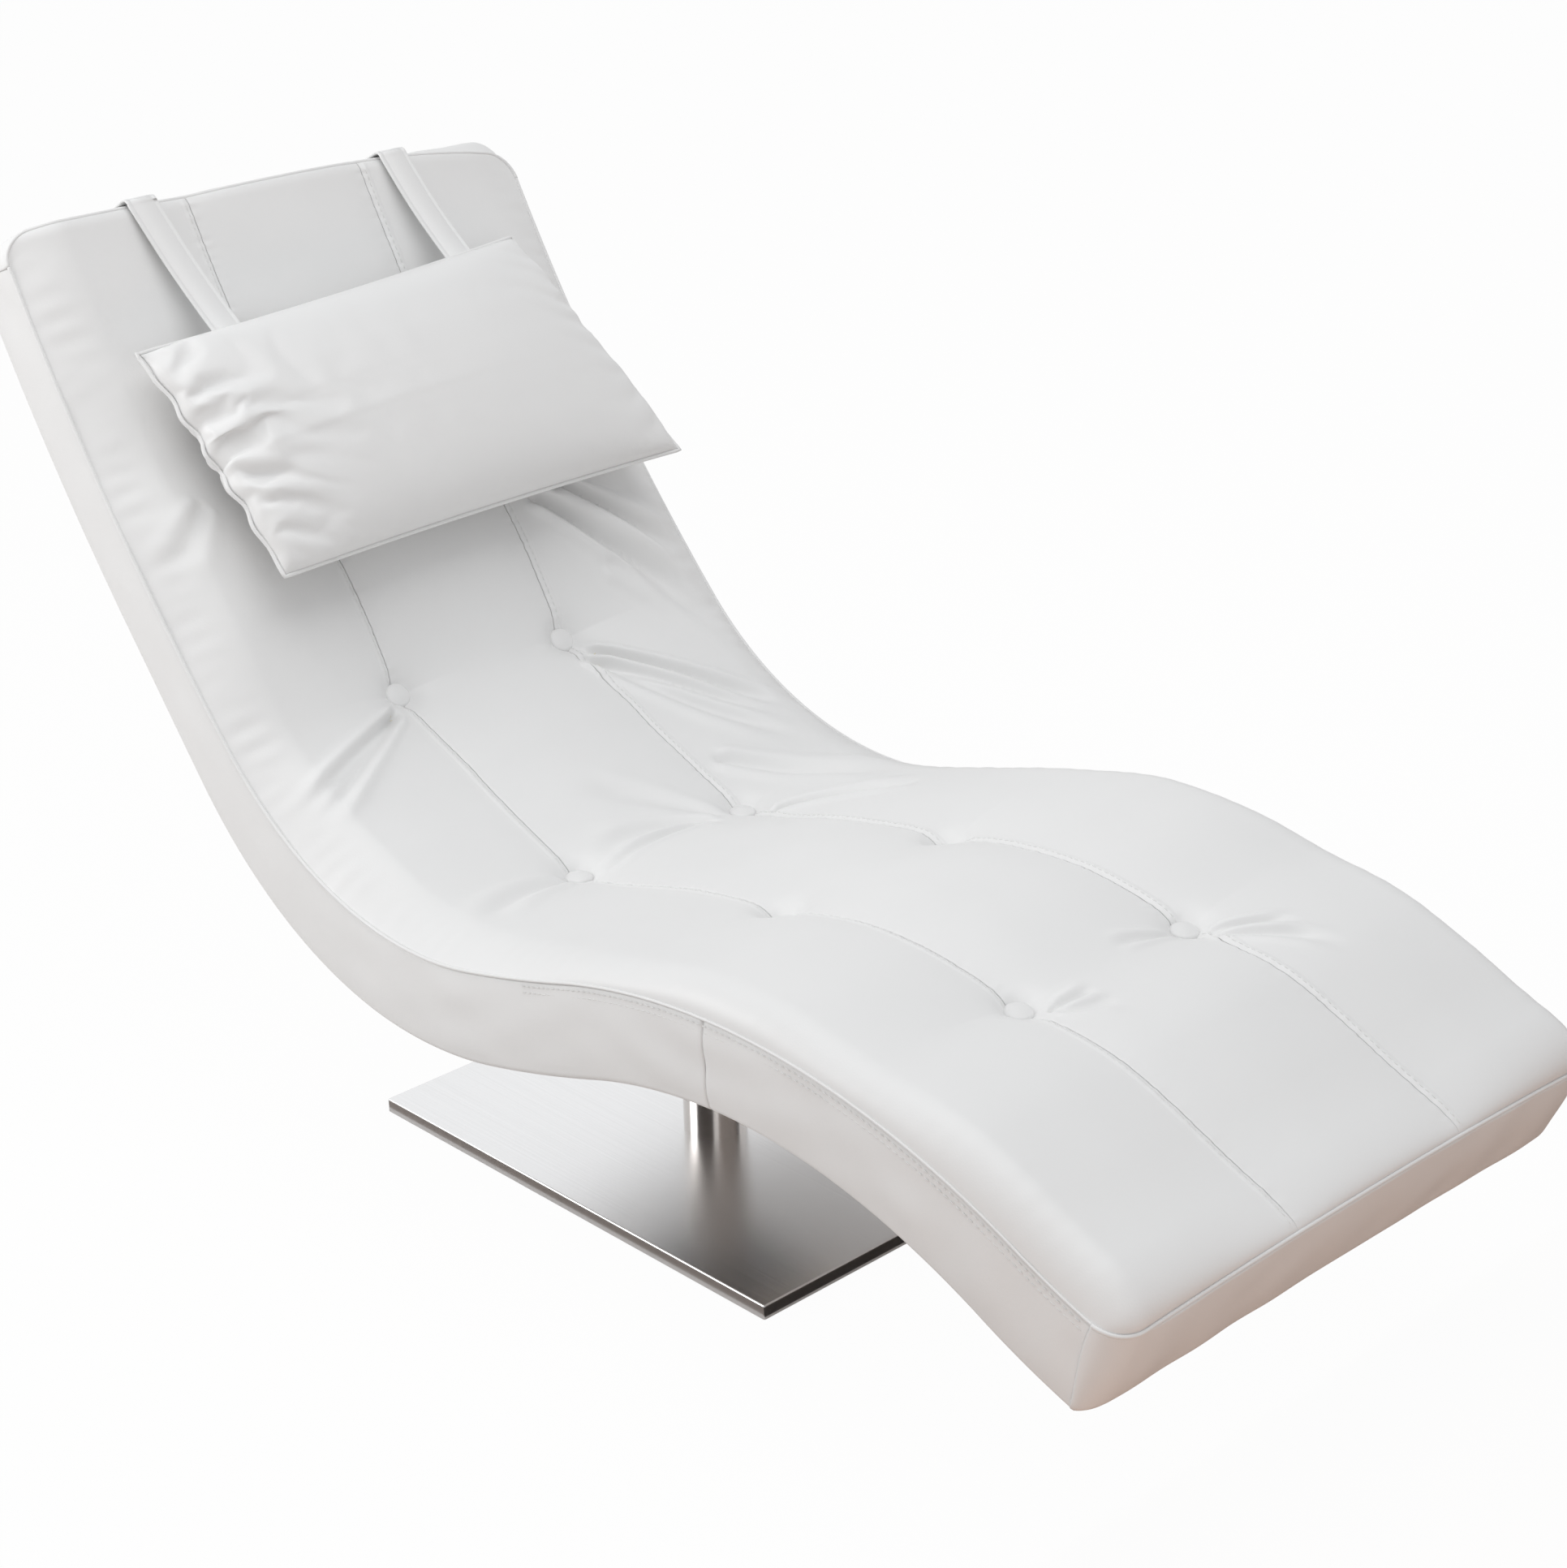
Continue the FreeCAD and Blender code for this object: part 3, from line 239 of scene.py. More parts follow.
finishes = {
    "leather": makeLeather("whiteLeather"),
    "thread": makePlain("whiteThread", (0.84, 0.84, 0.83), rough=0.6, scale=900.0, depth=0.0002, spread=0.06),
    "plate": makeBrushed("brushedPlate", (0.90, 0.905, 0.915), along=(3.0, 700.0, 700.0), rough=0.24, spread=0.07),
    "column": makeBrushed("polishedColumn", (0.63, 0.595, 0.57), along=(300.0, 300.0, 3.0), rough=0.10, spread=0.05),
    "bearing": makeBrushed("bearingSteel", (0.62, 0.62, 0.64), along=(200.0, 200.0, 200.0), rough=0.16, spread=0.06),
    "zinc": makePlain("zincSteel", (0.62, 0.63, 0.65), rough=0.38, scale=90.0, depth=0.0002, metallic=1.0),
    "blackSteel": makePlain("blackSteel", (0.045, 0.045, 0.05), rough=0.45, scale=320.0, depth=0.0002, spread=0.3),
    "bronze": makePlain("bronzeBush", (0.52, 0.36, 0.17), rough=0.35, scale=60.0, depth=0.0002, metallic=1.0),
    "darkPlastic": makePlain("darkPlastic", (0.05, 0.05, 0.055), rough=0.5, scale=500.0, depth=0.0001, spread=0.2),
    "felt": makePlain("greyFelt", (0.16, 0.16, 0.16), rough=0.95, scale=700.0, depth=0.0008, spread=0.35),
    "plywood": makeWood("plywood"),
    "foam": makePlain("creamFoam", (0.86, 0.80, 0.62), rough=0.9, scale=500.0, depth=0.0008, spread=0.15),
    "hookLoop": makePlain("hookAndLoop", (0.80, 0.80, 0.79), rough=0.9, scale=900.0, depth=0.0010, spread=0.25),
    "card": makePlain("darkCard", (0.055, 0.045, 0.040), rough=0.9, scale=60.0, depth=0.0002, spread=0.2),
    "warmCard": makePlain("warmCard", (0.84, 0.57, 0.43), rough=0.9, scale=60.0, depth=0.0002, spread=0.1),
    "greyCard": makePlain("greyCard", (0.34, 0.29, 0.26), rough=0.9, scale=60.0, depth=0.0002, spread=0.1),
}
# The solids that no new piece replaces, by finish
finishNodes = {
    "felt": ("floor_underlay",),
    "blackSteel": ("base_core_plate", "mounting_plate"),
    "plate": ("base_cover_sheet",),
    "column": ("column_tube", "column_head_housing"),
    "zinc": ("column_foot_plug", "column_screws", "lower_bush_carrier", "swivel_spindle", "retainer_washer",
             "retainer_screw", "mounting_bolts", "mounting_tee_nuts", "frame_screws"),
    "bronze": ("upper_bush", "lower_bush", "thrust_cage"),
    "bearing": ("lower_thrust_washer", "upper_thrust_washer", "thrust_balls"),
    "darkPlastic": ("bearing_cover_ring", "tuft_anchors"),
    "plywood": ("mounting_block", "side_rail_left", "side_rail_right", "deck_board", "cross_rail_1", "cross_rail_2",
                "cross_rail_3", "cross_rail_4", "cross_rail_5", "cross_rail_6"),
    "hookLoop": ("loop_patches", "hook_patches"),
}
for finish, nodeNames in finishNodes.items():
    for nodeName in nodeNames:
        mesh = nodes[nodeName].data
        mesh.materials.clear()
        mesh.materials.append(finishes[finish])
print("finishes made")

# The side profile: arcs (length, turn) along the seam between the top and the sides, from head to foot
profile = {
    "arcs": ((0.5593, 14.84), (0.3827, 59.07), (0.1386, 4.75), (0.5535, -42.54), (0.1128, 9.56)),
    "heading": -61.66, "axisSetback": 0.0191, "seamOverBlock": 0.0485, "rake": 8.0, "rakeLength": 0.30,
    "backThickness": 0.0716, "seatThickness": 0.0952, "legThickness": 0.0881, "footThickness": 0.0929,
    "thicknessShares": (0.226, 0.48, 0.525, 0.762), "samples": 8001, "teeNutFlange": 0.0016,
    "corner": 0.028, "cornerReach": 3, "lowCorner": 0.6,
    "farBow": 0.021, "farFrom": 0.08, "farRun": 0.30, "farDepth": 0.020, "farPower": 1.7,
    "tuftShares": (0.1445, 0.3165, 0.4906, 0.657, 0.823),
}
seamLength = sum(length for length, turn in profile["arcs"])
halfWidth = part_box("side_band_left_head")[1][1]
channelY = (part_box("top_panel_centre")[1][1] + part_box("top_panel_left")[0][1]) / 2
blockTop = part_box("mounting_tee_nuts")[1][2] - profile["teeNutFlange"]
tuftStations = np.array(profile["tuftShares"]) * seamLength


# 0 up to 0, 1 from 1 on, and an even S curve between
def smoothStep(x):
    x = np.clip(x, 0.0, 1.0)
    return x * x * (3 - 2 * x)


# Each vector over its own length
def unit(vectors):
    return vectors / np.maximum(np.linalg.norm(vectors, axis=-1, keepdims=True), tiny)


# How far a place lies towards the far edge: 0 up to farFrom, 1 at the edge
def farShare(y):
    return np.clip((y - profile["farFrom"]) / (halfWidth - profile["farFrom"]), 0.0, 1.0)


# Running sums of cosine and sine of the heading give the seam's place; it crosses the axis over the column
def makeSeamTable():
    edges = np.cumsum([0.0] + [length for length, turn in profile["arcs"]])
    turned = np.cumsum([0.0] + [turn for length, turn in profile["arcs"]])
    s = np.linspace(0.0, seamLength, profile["samples"])
    heading = np.radians(profile["heading"] + np.interp(s, edges, turned))
    step = s[1] - s[0]
    middle = (heading[1:] + heading[:-1]) / 2
    x = np.concatenate([[0.0], np.cumsum(np.cos(middle) * step)])
    z = np.concatenate([[0.0], np.cumsum(np.sin(middle) * step)])
    axisStation = edges[2] - profile["axisSetback"]
    x -= np.interp(axisStation, s, x)
    z += blockTop + profile["seamOverBlock"] - np.interp(axisStation, s, z)
    return s, x, z, heading


seamTable = makeSeamTable()


# The four corners are rounded in plan, less so at the bottom, and the far head corner hangs back a little
def cornerShift(s, y, n):
    p = profile
    r = p["corner"]
    fromSide = np.clip(halfWidth - np.abs(y), 0.0, r)
    shift = r - np.sqrt(r * r - (r - fromSide) ** 2)
    headward = np.clip(1 - s / (p["cornerReach"] * r), 0.0, 1.0) ** 2
    footward = np.clip(1 - (seamLength - s) / (p["cornerReach"] * r), 0.0, 1.0) ** 2
    bow = p["farBow"] * farShare(y) ** p["farPower"] * smoothStep(1 - s / p["farRun"])
    bow = bow * smoothStep(1 + n / p["farDepth"])
    low = 1 - p["lowCorner"] * smoothStep(-n / p["footThickness"])
    return shift * (headward - footward) * low + bow


# Point on the body: s along the seam, y across, n square to the seam; the foot end leans by its rake
def bodyPoint(s, y, n):
    s, y, n = np.broadcast_arrays(np.asarray(s, float), y, n)
    s = s + cornerShift(s, y, n)
    inside = np.clip(s, 0.0, seamLength)
    ts, tx, tz, th = seamTable
    heading = np.interp(inside, ts, th)
    x = np.interp(inside, ts, tx) + (s - inside) * np.cos(heading)
    z = np.interp(inside, ts, tz) + (s - inside) * np.sin(heading)
    share = smoothStep((inside - seamLength + profile["rakeLength"]) / profile["rakeLength"])
    lean = heading - math.radians(profile["rake"]) * share
    return np.stack([x - np.sin(lean) * n, y, z + np.cos(lean) * n], axis=-1)


# Direction square to the seam, from one point of the body to the next one out
def outwardAt(s):
    return bodyPoint(s, 0.0, 1.0) - bodyPoint(s, 0.0, 0.0)


# Thickness from the seam to the back: even on the back, then eased to the seat's, the leg's and the foot's
def thicknessAt(s):
    p = profile
    a, b, c, d = (share * seamLength for share in p["thicknessShares"])
    t = p["backThickness"] + (p["seatThickness"] - p["backThickness"]) * smoothStep((s - a) / (b - a))
    t = t + (p["legThickness"] - p["seatThickness"]) * smoothStep((s - c) / (d - c))
    return t + (p["footThickness"] - p["legThickness"]) * smoothStep((s - d) / (seamLength - d))


noiseShape = {"waves": 14, "shortest": 0.6, "longest": 1.7}


# Sum of plane waves with seeded directions, phases and lengths, about -1 to 1
def softNoise(u, v, size, seed):
    random = np.random.default_rng(seed)
    waves = noiseShape["waves"]
    total = np.zeros(np.broadcast(u, v).shape)
    for angle, phase, stretch in zip(random.uniform(0, math.pi, waves), random.uniform(0, 2 * math.pi, waves),
                                     random.uniform(noiseShape["shortest"], noiseShape["longest"], waves)):
        total = total + np.sin((u * math.cos(angle) + v * math.sin(angle)) * 2 * math.pi * stretch / size + phase)
    return total / math.sqrt(waves)


# Mesh from a grid of points; either direction may close on itself, and open ends may get a cap
def gridMesh(name, points, closeFirst=False, closeSecond=False, capEnds=False, flip=False, keep=None):
    rows, columns = points.shape[:2]
    i = np.arange(rows if closeFirst else rows - 1)
    j = np.arange(columns if closeSecond else columns - 1)
    i, j = np.meshgrid(i, j, indexing="ij")
    nextI, nextJ = (i + 1) % rows, (j + 1) % columns
    quads = np.stack([i * columns + j, nextI * columns + j, nextI * columns + nextJ, i * columns + nextJ], axis=-1)
    quads = quads.reshape(-1, 4)
    if keep is not None:
        quads = quads[keep[:-1, :-1].reshape(-1)]
    loops = (quads[:, ::-1] if flip else quads).reshape(-1)
    totals = np.full(len(quads), 4)
    if capEnds:
        first = np.arange(columns)
        last = np.arange(columns)[::-1] + (rows - 1) * columns
        first, last = (first[::-1], last[::-1]) if flip else (first, last)
        loops = np.concatenate([loops, first, last])
        totals = np.concatenate([totals, [columns, columns]])
    mesh = bpy.data.meshes.new(name)
    mesh.vertices.add(rows * columns)
    mesh.vertices.foreach_set("co", points.reshape(-1).astype(np.float32))
    mesh.loops.add(len(loops))
    mesh.loops.foreach_set("vertex_index", loops.astype(np.int32))
    mesh.polygons.add(len(totals))
    mesh.polygons.foreach_set("loop_start", np.concatenate([[0], np.cumsum(totals)[:-1]]).astype(np.int32))
    mesh.polygons.foreach_set("loop_total", totals.astype(np.int32))
    mesh.polygons.foreach_set("use_smooth", np.ones(len(totals), bool))
    mesh.update(calc_edges=True)
    mesh.validate()
    return mesh


# Smooth mesh from points and faces
def faceMesh(name, points, faces):
    mesh = bpy.data.meshes.new(name)
    mesh.from_pydata(points.tolist(), [], faces)
    mesh.polygons.foreach_set("use_smooth", np.ones(len(mesh.polygons), bool))
    return mesh


# A sheet with a thickness: the outer grid, and an inner one square to it that keeps every few columns
def shellMesh(name, outer, thickness, skip, flip=False):
    outward = unit(np.cross(np.gradient(outer, axis=0), np.gradient(outer, axis=1)))
    inner = outer + outward * (thickness if flip else -thickness)
    kept = np.unique(np.concatenate([np.arange(0, outer.shape[1], skip), [outer.shape[1] - 1]]))
    points = np.concatenate([outer, inner[:, kept[::-1]]], axis=1)
    return gridMesh(name, points, closeSecond=True, capEnds=True, flip=flip)


# Makes a mesh one piece of the part: its finish, the body that it rides on and the nodes it replaces
def addPiece(name, mesh, finish, body, replaced=()):
    piece = addObject(name, mesh)
    mesh.materials.append(finishes[finish])
    if body:
        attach(piece, body)
    if replaced:
        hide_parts(*replaced)
    return piece


# A piece whose grid closes round its section and is capped at both ends
def addBar(name, points, finish, body, replaced=(), flip=False):
    mesh = gridMesh(name, points, closeSecond=True, capEnds=True, flip=flip)
    return addPiece(name, mesh, finish, body, replaced)


# Rings of points across a path: each circle is square to its direction, and starts square to a hint
def ringPoints(path, ahead, hint, radius, sides):
    ahead = unit(ahead)
    first = unit(np.cross(ahead, hint))
    second = np.cross(first, ahead)
    angle = np.linspace(0, 2 * math.pi, sides, endpoint=False)[None, :, None]
    ring = first[:, None] * np.cos(angle) + second[:, None] * np.sin(angle)
    return path[:, None] + ring * np.broadcast_to(radius, (len(path),))[:, None, None]


# Round tube along an open path
def tubePoints(path, radius, hint, sides):
    return ringPoints(path, np.gradient(path, axis=0), hint, radius, sides)


# Heights of the cover over the side seam: at the tuft rows, and between them from the head to the foot
crown = {
    "channelRows": (0.002, -0.004, 0.006, 0.000, 0.004),
    "channelGaps": (0.021, 0.016, 0.030, 0.018, 0.013, 0.028), "channelReach": 0.130, "channelPower": 1.7,
    "middleRows": (0.018, 0.012, 0.020, 0.013, 0.015),
    "middleGaps": (0.028, 0.026, 0.036, 0.025, 0.021, 0.034), "middleReach": 0.120,
    "sideRows": (0.024, 0.023, 0.024, 0.019, 0.025),
    "sideGaps": (0.029, 0.031, 0.034, 0.021, 0.029, 0.036), "sideReach": 0.120,
    "backShoulder": 0.058, "legShoulder": 0.036, "backBevel": 1.6, "legBevel": 2.0, "backRound": 0.95,
    "legRound": 0.55, "legFrom": 0.85, "legRun": 0.35, "panelPower": 2.3,
    "dimpleDepths": (0.0105, 0.0105, 0.0105, 0.0145, 0.0115), "dimpleRadius": 0.0185, "dimplePower": 2.2,
    "seamDepth": 0.0009, "seamRound": 0.0022, "seamGap": 0.00010, "ridgeAway": 0.0062, "ridgeWidth": 0.0022,
    "ridgeHeight": 0.0009, "headRound": 0.012, "headDrop": 0.005, "headMargin": 0.03,
    "farRun": 0.20, "farDrop": 0.90, "farPower": 1.5, "footRound": 0.055, "footEdge": 0.017, "footPower": 0.8,
    "puckerHeight": 0.0006, "puckerSize": 0.030, "puckerSquash": 0.25, "puckerBand": 0.02, "puckerLegLoss": 0.7,
    "tickHeight": 0.00035, "tickSize": 0.009, "tickSquash": 0.1, "tickBand": 0.010,
    "waveHeight": 0.0006, "waveSize": 0.16, "foldMargin": 0.02, "lowest": -0.015,
}
# Folds: (start, bend, end) as (s, y), then depth and half width; left is +y and right is -y
folds = {
    "underPillowUpper": ((0.390, 0.170), (0.445, 0.229), (0.510, 0.290), 0.0068, 0.0080),
    "underPillowLower": ((0.395, 0.136), (0.465, 0.200), (0.585, 0.285), 0.0078, 0.0095),
    "leftSoft": ((0.489, 0.185), (0.549, 0.244), (0.612, 0.290), 0.0030, 0.0110),
    "leftButtonUpper": ((0.572, 0.112), (0.627, 0.180), (0.785, 0.288), 0.0060, 0.0075),
    "leftButtonMiddle": ((0.576, 0.104), (0.647, 0.161), (0.802, 0.280), 0.0050, 0.0080),
    "leftButtonLower": ((0.588, 0.112), (0.676, 0.150), (0.815, 0.255), 0.0035, 0.0090),
    "hollowLeftUpper": ((0.775, 0.132), (0.845, 0.206), (0.938, 0.258), 0.0040, 0.0120),
    "hollowLeftLower": ((0.894, 0.112), (0.916, 0.165), (1.006, 0.236), 0.0045, 0.0080),
    "hollowCentreUpper": ((0.883, 0.060), (0.831, 0.002), (0.843, -0.077), 0.0028, 0.0090),
    "hollowCentreLower": ((0.877, 0.038), (0.859, -0.033), (0.881, -0.100), 0.0022, 0.0055),
    "hollowCentreFar": ((0.869, 0.078), (0.797, 0.032), (0.751, -0.033), 0.0018, 0.0120),
    "rightButtonUpper": ((0.570, -0.122), (0.603, -0.200), (0.659, -0.301), 0.0050, 0.0065),
    "rightButtonLower": ((0.574, -0.124), (0.616, -0.198), (0.678, -0.295), 0.0048, 0.0075),
    "rightHollow": ((0.871, -0.126), (0.857, -0.180), (0.904, -0.264), 0.0026, 0.0110),
    "rightSoft": ((0.311, -0.231), (0.335, -0.256), (0.375, -0.295), 0.0022, 0.0110),
    "kneeLeftUpper": ((1.458, 0.112), (1.474, 0.142), (1.503, 0.182), 0.0030, 0.0050),
    "kneeLeftLower": ((1.460, 0.106), (1.490, 0.140), (1.548, 0.188), 0.0028, 0.0060),
    "kneeCentreLeft": ((1.443, 0.086), (1.430, 0.052), (1.426, 0.018), 0.0018, 0.0050),
    "kneeCentreRight": ((1.460, -0.098), (1.460, -0.072), (1.465, -0.042), 0.0024, 0.0050),
    "kneeCentreLow": ((1.464, -0.096), (1.478, -0.074), (1.489, -0.042), 0.0016, 0.0060),
}
foldShape = {"deepened": 1.75, "reach": 5, "startWidth": 0.55, "widening": 0.75, "fadeIn": 0.10, "fadeOut": 0.32,
             "ridgeAway": 1.9, "ridgeShare": 0.55, "steps": 26, "farAway": 1.0}


# Distance from every grid point to a curved fold line, and how far along the line the nearest point is
def foldRun(s, y, start, bend, end):
    steps = foldShape["steps"]
    t = np.linspace(0.0, 1.0, steps)[:, None]
    line = (1 - t) ** 2 * np.array(start) + 2 * t * (1 - t) * np.array(bend) + t ** 2 * np.array(end)
    best = np.full(s.shape, foldShape["farAway"])
    share = np.zeros(s.shape)
    for k in range(steps - 1):
        a, b = line[k], line[k + 1]
        ab = b - a
        along = np.clip(((s - a[0]) * ab[0] + (y - a[1]) * ab[1]) / (ab @ ab), 0.0, 1.0)
        away = np.hypot(s - a[0] - along * ab[0], y - a[1] - along * ab[1])
        nearer = away < best
        best = np.where(nearer, away, best)
        share = np.where(nearer, (k + along) / (steps - 1), share)
    return best, share


# A fold: a narrow valley between two soft ridges, deepest near its start and fading out at its end
def foldHeight(s, y):
    shape = foldShape
    total = np.zeros(s.shape)
    for start, bend, end, depth, width in folds.values():
        reach = shape["reach"] * width
        low = np.minimum(np.minimum(start, bend), end) - reach
        high = np.maximum(np.maximum(start, bend), end) + reach
        near = (s > low[0]) & (s < high[0]) & (y > low[1]) & (y < high[1])
        if not near.any():
            continue
        away, share = foldRun(s[near], y[near], start, bend, end)
        wide = width * (shape["startWidth"] + shape["widening"] * share)
        fade = smoothStep(share / shape["fadeIn"]) * smoothStep((1 - share) / shape["fadeOut"])
        valley = np.exp(-(away / wide) ** 2)
        ridge = np.exp(-((away - shape["ridgeAway"] * wide) / wide) ** 2)
        total[near] += shape["deepened"] * depth * fade * (shape["ridgeShare"] * ridge - valley)
    return total


# A height along the body: each tuft row has its own value, and away from the row it eases into the gap's
def runHeight(s, rows, gaps, reach, power=None):
    away = np.abs(s[..., None] - tuftStations)
    nearest = np.argmin(away, axis=-1)
    near = np.clip(1 - away.min(axis=-1) / reach, 0.0, 1.0)
    near = smoothStep(near) if power is None else near ** power
    gap = np.array(gaps)[np.searchsorted(tuftStations, s)]
    return gap + (np.array(rows)[nearest] - gap) * near


# 0 on the back and 1 on the leg part, where the cover is tighter
def legShare(s):
    return smoothStep((s - crown["legFrom"]) / crown["legRun"])


# How far a quarter circle has dropped below its top, from 1 at its start to 0 where the share reaches 1
def quarterDrop(share):
    return 1 - np.sqrt(np.clip(1 - (1 - share) ** 2, 0, 1))


# Height of the cover: panels arched between the channels and the sides, rounded shoulders, a dimple round each
# button, the channel's groove, ridge and ticks, puckers along the sides, the folds, and the rounded ends
def topHeight(s, y):
    c = crown
    s, y = np.broadcast_arrays(np.asarray(s, float), np.asarray(y, float))
    across = np.abs(y)
    fromSide = halfWidth - across
    fromChannel = np.abs(across - channelY)
    channel = runHeight(s, c["channelRows"], c["channelGaps"], c["channelReach"], c["channelPower"])
    middle = runHeight(s, c["middleRows"], c["middleGaps"], c["middleReach"])
    side = runHeight(s, c["sideRows"], c["sideGaps"], c["sideReach"])
    leg = legShare(s)
    shoulder, bevel, bend = (c["back" + key] + (c["leg" + key] - c["back" + key]) * leg
                             for key in ("Shoulder", "Bevel", "Round"))
    outward = np.clip((across - channelY) / (halfWidth - shoulder - channelY), 0.0, 1.0)
    sidePart = channel + (side - channel) * (1 - (1 - outward) ** c["panelPower"])
    middlePart = channel + (middle - channel) * (1 - np.clip(across / channelY, 0.0, 1.0) ** c["panelPower"])
    height = np.where(across < channelY, middlePart, sidePart)
    height = height * (1 - (1 - np.clip(fromSide / shoulder, 0.0, 1.0)) ** bevel) ** bend
    for station, depth in zip(tuftStations, c["dimpleDepths"]):
        away = np.hypot(s - station, fromChannel)
        height = height - depth * np.exp(-(away / c["dimpleRadius"]) ** c["dimplePower"])
    height = height - c["seamDepth"] * quarterDrop(np.clip(fromChannel / c["seamRound"], 0.0, 1.0))
    ridge = np.exp(-((across - channelY - c["ridgeAway"]) / c["ridgeWidth"]) ** 2)
    ticks = softNoise(s, y * c["tickSquash"], c["tickSize"], seed=77) * np.exp(-(fromChannel / c["tickBand"]) ** 2)
    height = height + c["ridgeHeight"] * ridge + c["tickHeight"] * ticks
    puckers = softNoise(s, y * c["puckerSquash"], c["puckerSize"], seed=5)
    puckers = c["puckerHeight"] * (1 - c["puckerLegLoss"] * leg) * puckers
    height = height + puckers * np.exp(-((fromSide - c["puckerBand"]) / c["puckerBand"]) ** 2)
    height = height + c["waveHeight"] * softNoise(s, y, c["waveSize"], seed=9)
    height = height + foldHeight(s, y) * smoothStep(fromSide / c["foldMargin"])
    headDrop = c["headDrop"] * quarterDrop(np.clip(s / c["headRound"], 0.0, 1.0))
    height = height - headDrop * smoothStep(fromSide / c["headMargin"])
    height = height * (1 - c["farDrop"] * farShare(y) ** c["farPower"] * smoothStep(1 - s / c["farRun"]))
    edge = c["footEdge"] * np.clip(1 - (y / halfWidth) ** 2, 0.0, 1.0) ** c["footPower"]
    share = np.clip((seamLength - s) / c["footRound"], 0.0, 1.0)
    height = edge + (height - edge) * np.sqrt(1 - (1 - share) ** 2)
    return np.maximum(height, c["lowest"])


topGrid = {
    "stations": 700, "samples": 4001, "tuftWeight": 0.9, "tuftReach": 0.035, "endWeight": 3.0, "endReach": 0.010,
    "shoulderColumns": 40, "flatColumns": 77, "sideEase": 0.9, "centreColumns": 90, "centreEase": 0.88,
    "thickness": 0.0018, "skip": 3,
}


# Even stations, closer together near the tuft rows and the two ends
def panelStations():
    t = topGrid
    fine = np.linspace(0.0, seamLength, t["samples"])
    weight = np.ones(fine.shape)
    for station in tuftStations:
        weight = weight + t["tuftWeight"] * np.exp(-((fine - station) / t["tuftReach"]) ** 2)
    for fromEnd in (fine, seamLength - fine):
        weight = weight + t["endWeight"] * np.exp(-(fromEnd / t["endReach"]) ** 2)
    run = np.concatenate([[0.0], np.cumsum((weight[1:] + weight[:-1]) / 2)])
    return np.interp(np.linspace(0, run[-1], t["stations"]), run, fine)


# Even shares from the middle outward, drawn together towards the edge by a sine
def easedShares(share, ease):
    return np.sin(share * math.pi / 2 * ease) / math.sin(math.pi / 2 * ease)


# Columns stand closest on the rounded shoulder and beside the channel seam
def sideColumns(side):
    turn = np.linspace(0.0, math.pi / 2, topGrid["shoulderColumns"])
    shoulder = halfWidth - crown["backShoulder"] * (1 - np.cos(turn))
    start = halfWidth - crown["backShoulder"]
    end = channelY + crown["seamGap"]
    share = np.linspace(0.0, 1.0, topGrid["flatColumns"])[1:]
    flat = start + (end - start) * easedShares(share, topGrid["sideEase"])
    return np.sort(np.concatenate([shoulder, flat]) * side)


stations = panelStations()
centreShares = easedShares(np.linspace(-1.0, 1.0, topGrid["centreColumns"]), topGrid["centreEase"])


# A panel: rows along the body and columns across it
def makeTopPanel(name, columns, node):
    s, y = np.meshgrid(stations, columns, indexing="ij")
    mesh = shellMesh(name, bodyPoint(s, y, topHeight(s, y)), topGrid["thickness"], topGrid["skip"])
    addPiece(name, mesh, "leather", "seat", (node,))


makeTopPanel("topPanelCentre", (channelY - crown["seamGap"]) * centreShares, "top_panel_centre")
makeTopPanel("topPanelLeft", sideColumns(1), "top_panel_left")
makeTopPanel("topPanelRight", sideColumns(-1), "top_panel_right")

# Foam under the cover: its top follows the cover a few millimetres lower, its bottom lies on the bent board
foam = {"under": 0.0045, "bottom": 0.0217, "inset": 0.004, "sideInset": 0.003, "thinnest": 0.004, "rows": 420,
        "columns": 120, "padWidth": 0.0077, "padGap": 0.0008, "padColumns": 60, "coverRoom": 0.0018, "lowRoom": 0.0105}


# The slab's section is the cover's height less a gap over a level bottom; the pads are four-sided bars
def makeFoam():
    f = foam
    s = np.linspace(f["inset"], seamLength - f["inset"], f["rows"])[:, None]
    y = np.sin(np.linspace(-1, 1, f["columns"]) * math.pi / 2)[None, :] * (halfWidth - f["sideInset"])
    top = np.maximum(topHeight(s, y) - f["under"], f["thinnest"] - f["bottom"])
    lower = bodyPoint(s, y[:, ::-2], -f["bottom"])
    slab = np.concatenate([bodyPoint(s, y, top), lower], axis=1)
    addBar("foamSlab", slab, "foam", "seat", ("foam_slab",))
    edge = halfWidth - f["coverRoom"]
    top = -f["bottom"] - f["padGap"]
    for side, word in ((1, "Left"), (-1, "Right")):
        ys = np.array([[edge, edge - f["padWidth"], edge - f["padWidth"], edge]]) * side
        low = -thicknessAt(s) + f["lowRoom"]
        high = 0 * s + top
        pad = bodyPoint(s, ys, np.concatenate([high, high, low, low], axis=1))
        addBar("sidePad" + word, pad, "foam", "seat", ("side_pads",) if side > 0 else (), flip=side > 0)
    y = np.linspace(-1, 1, f["padColumns"])[:, None] * (edge - f["padWidth"] - f["padGap"])
    for word, start in (("Head", f["padGap"]), ("Foot", seamLength - f["padGap"] - f["padWidth"])):
        s = np.array([[start, start, start + f["padWidth"], start + f["padWidth"]]])
        low = -float(thicknessAt(np.array(start))) + 2 * f["lowRoom"]
        pad = bodyPoint(s, y, np.array([[top, low, low, top]]))
        addBar("endPad" + word, pad, "foam", "seat", ("end_pads",) if word == "Foot" else ())


makeFoam()
print("top panels and foam made")

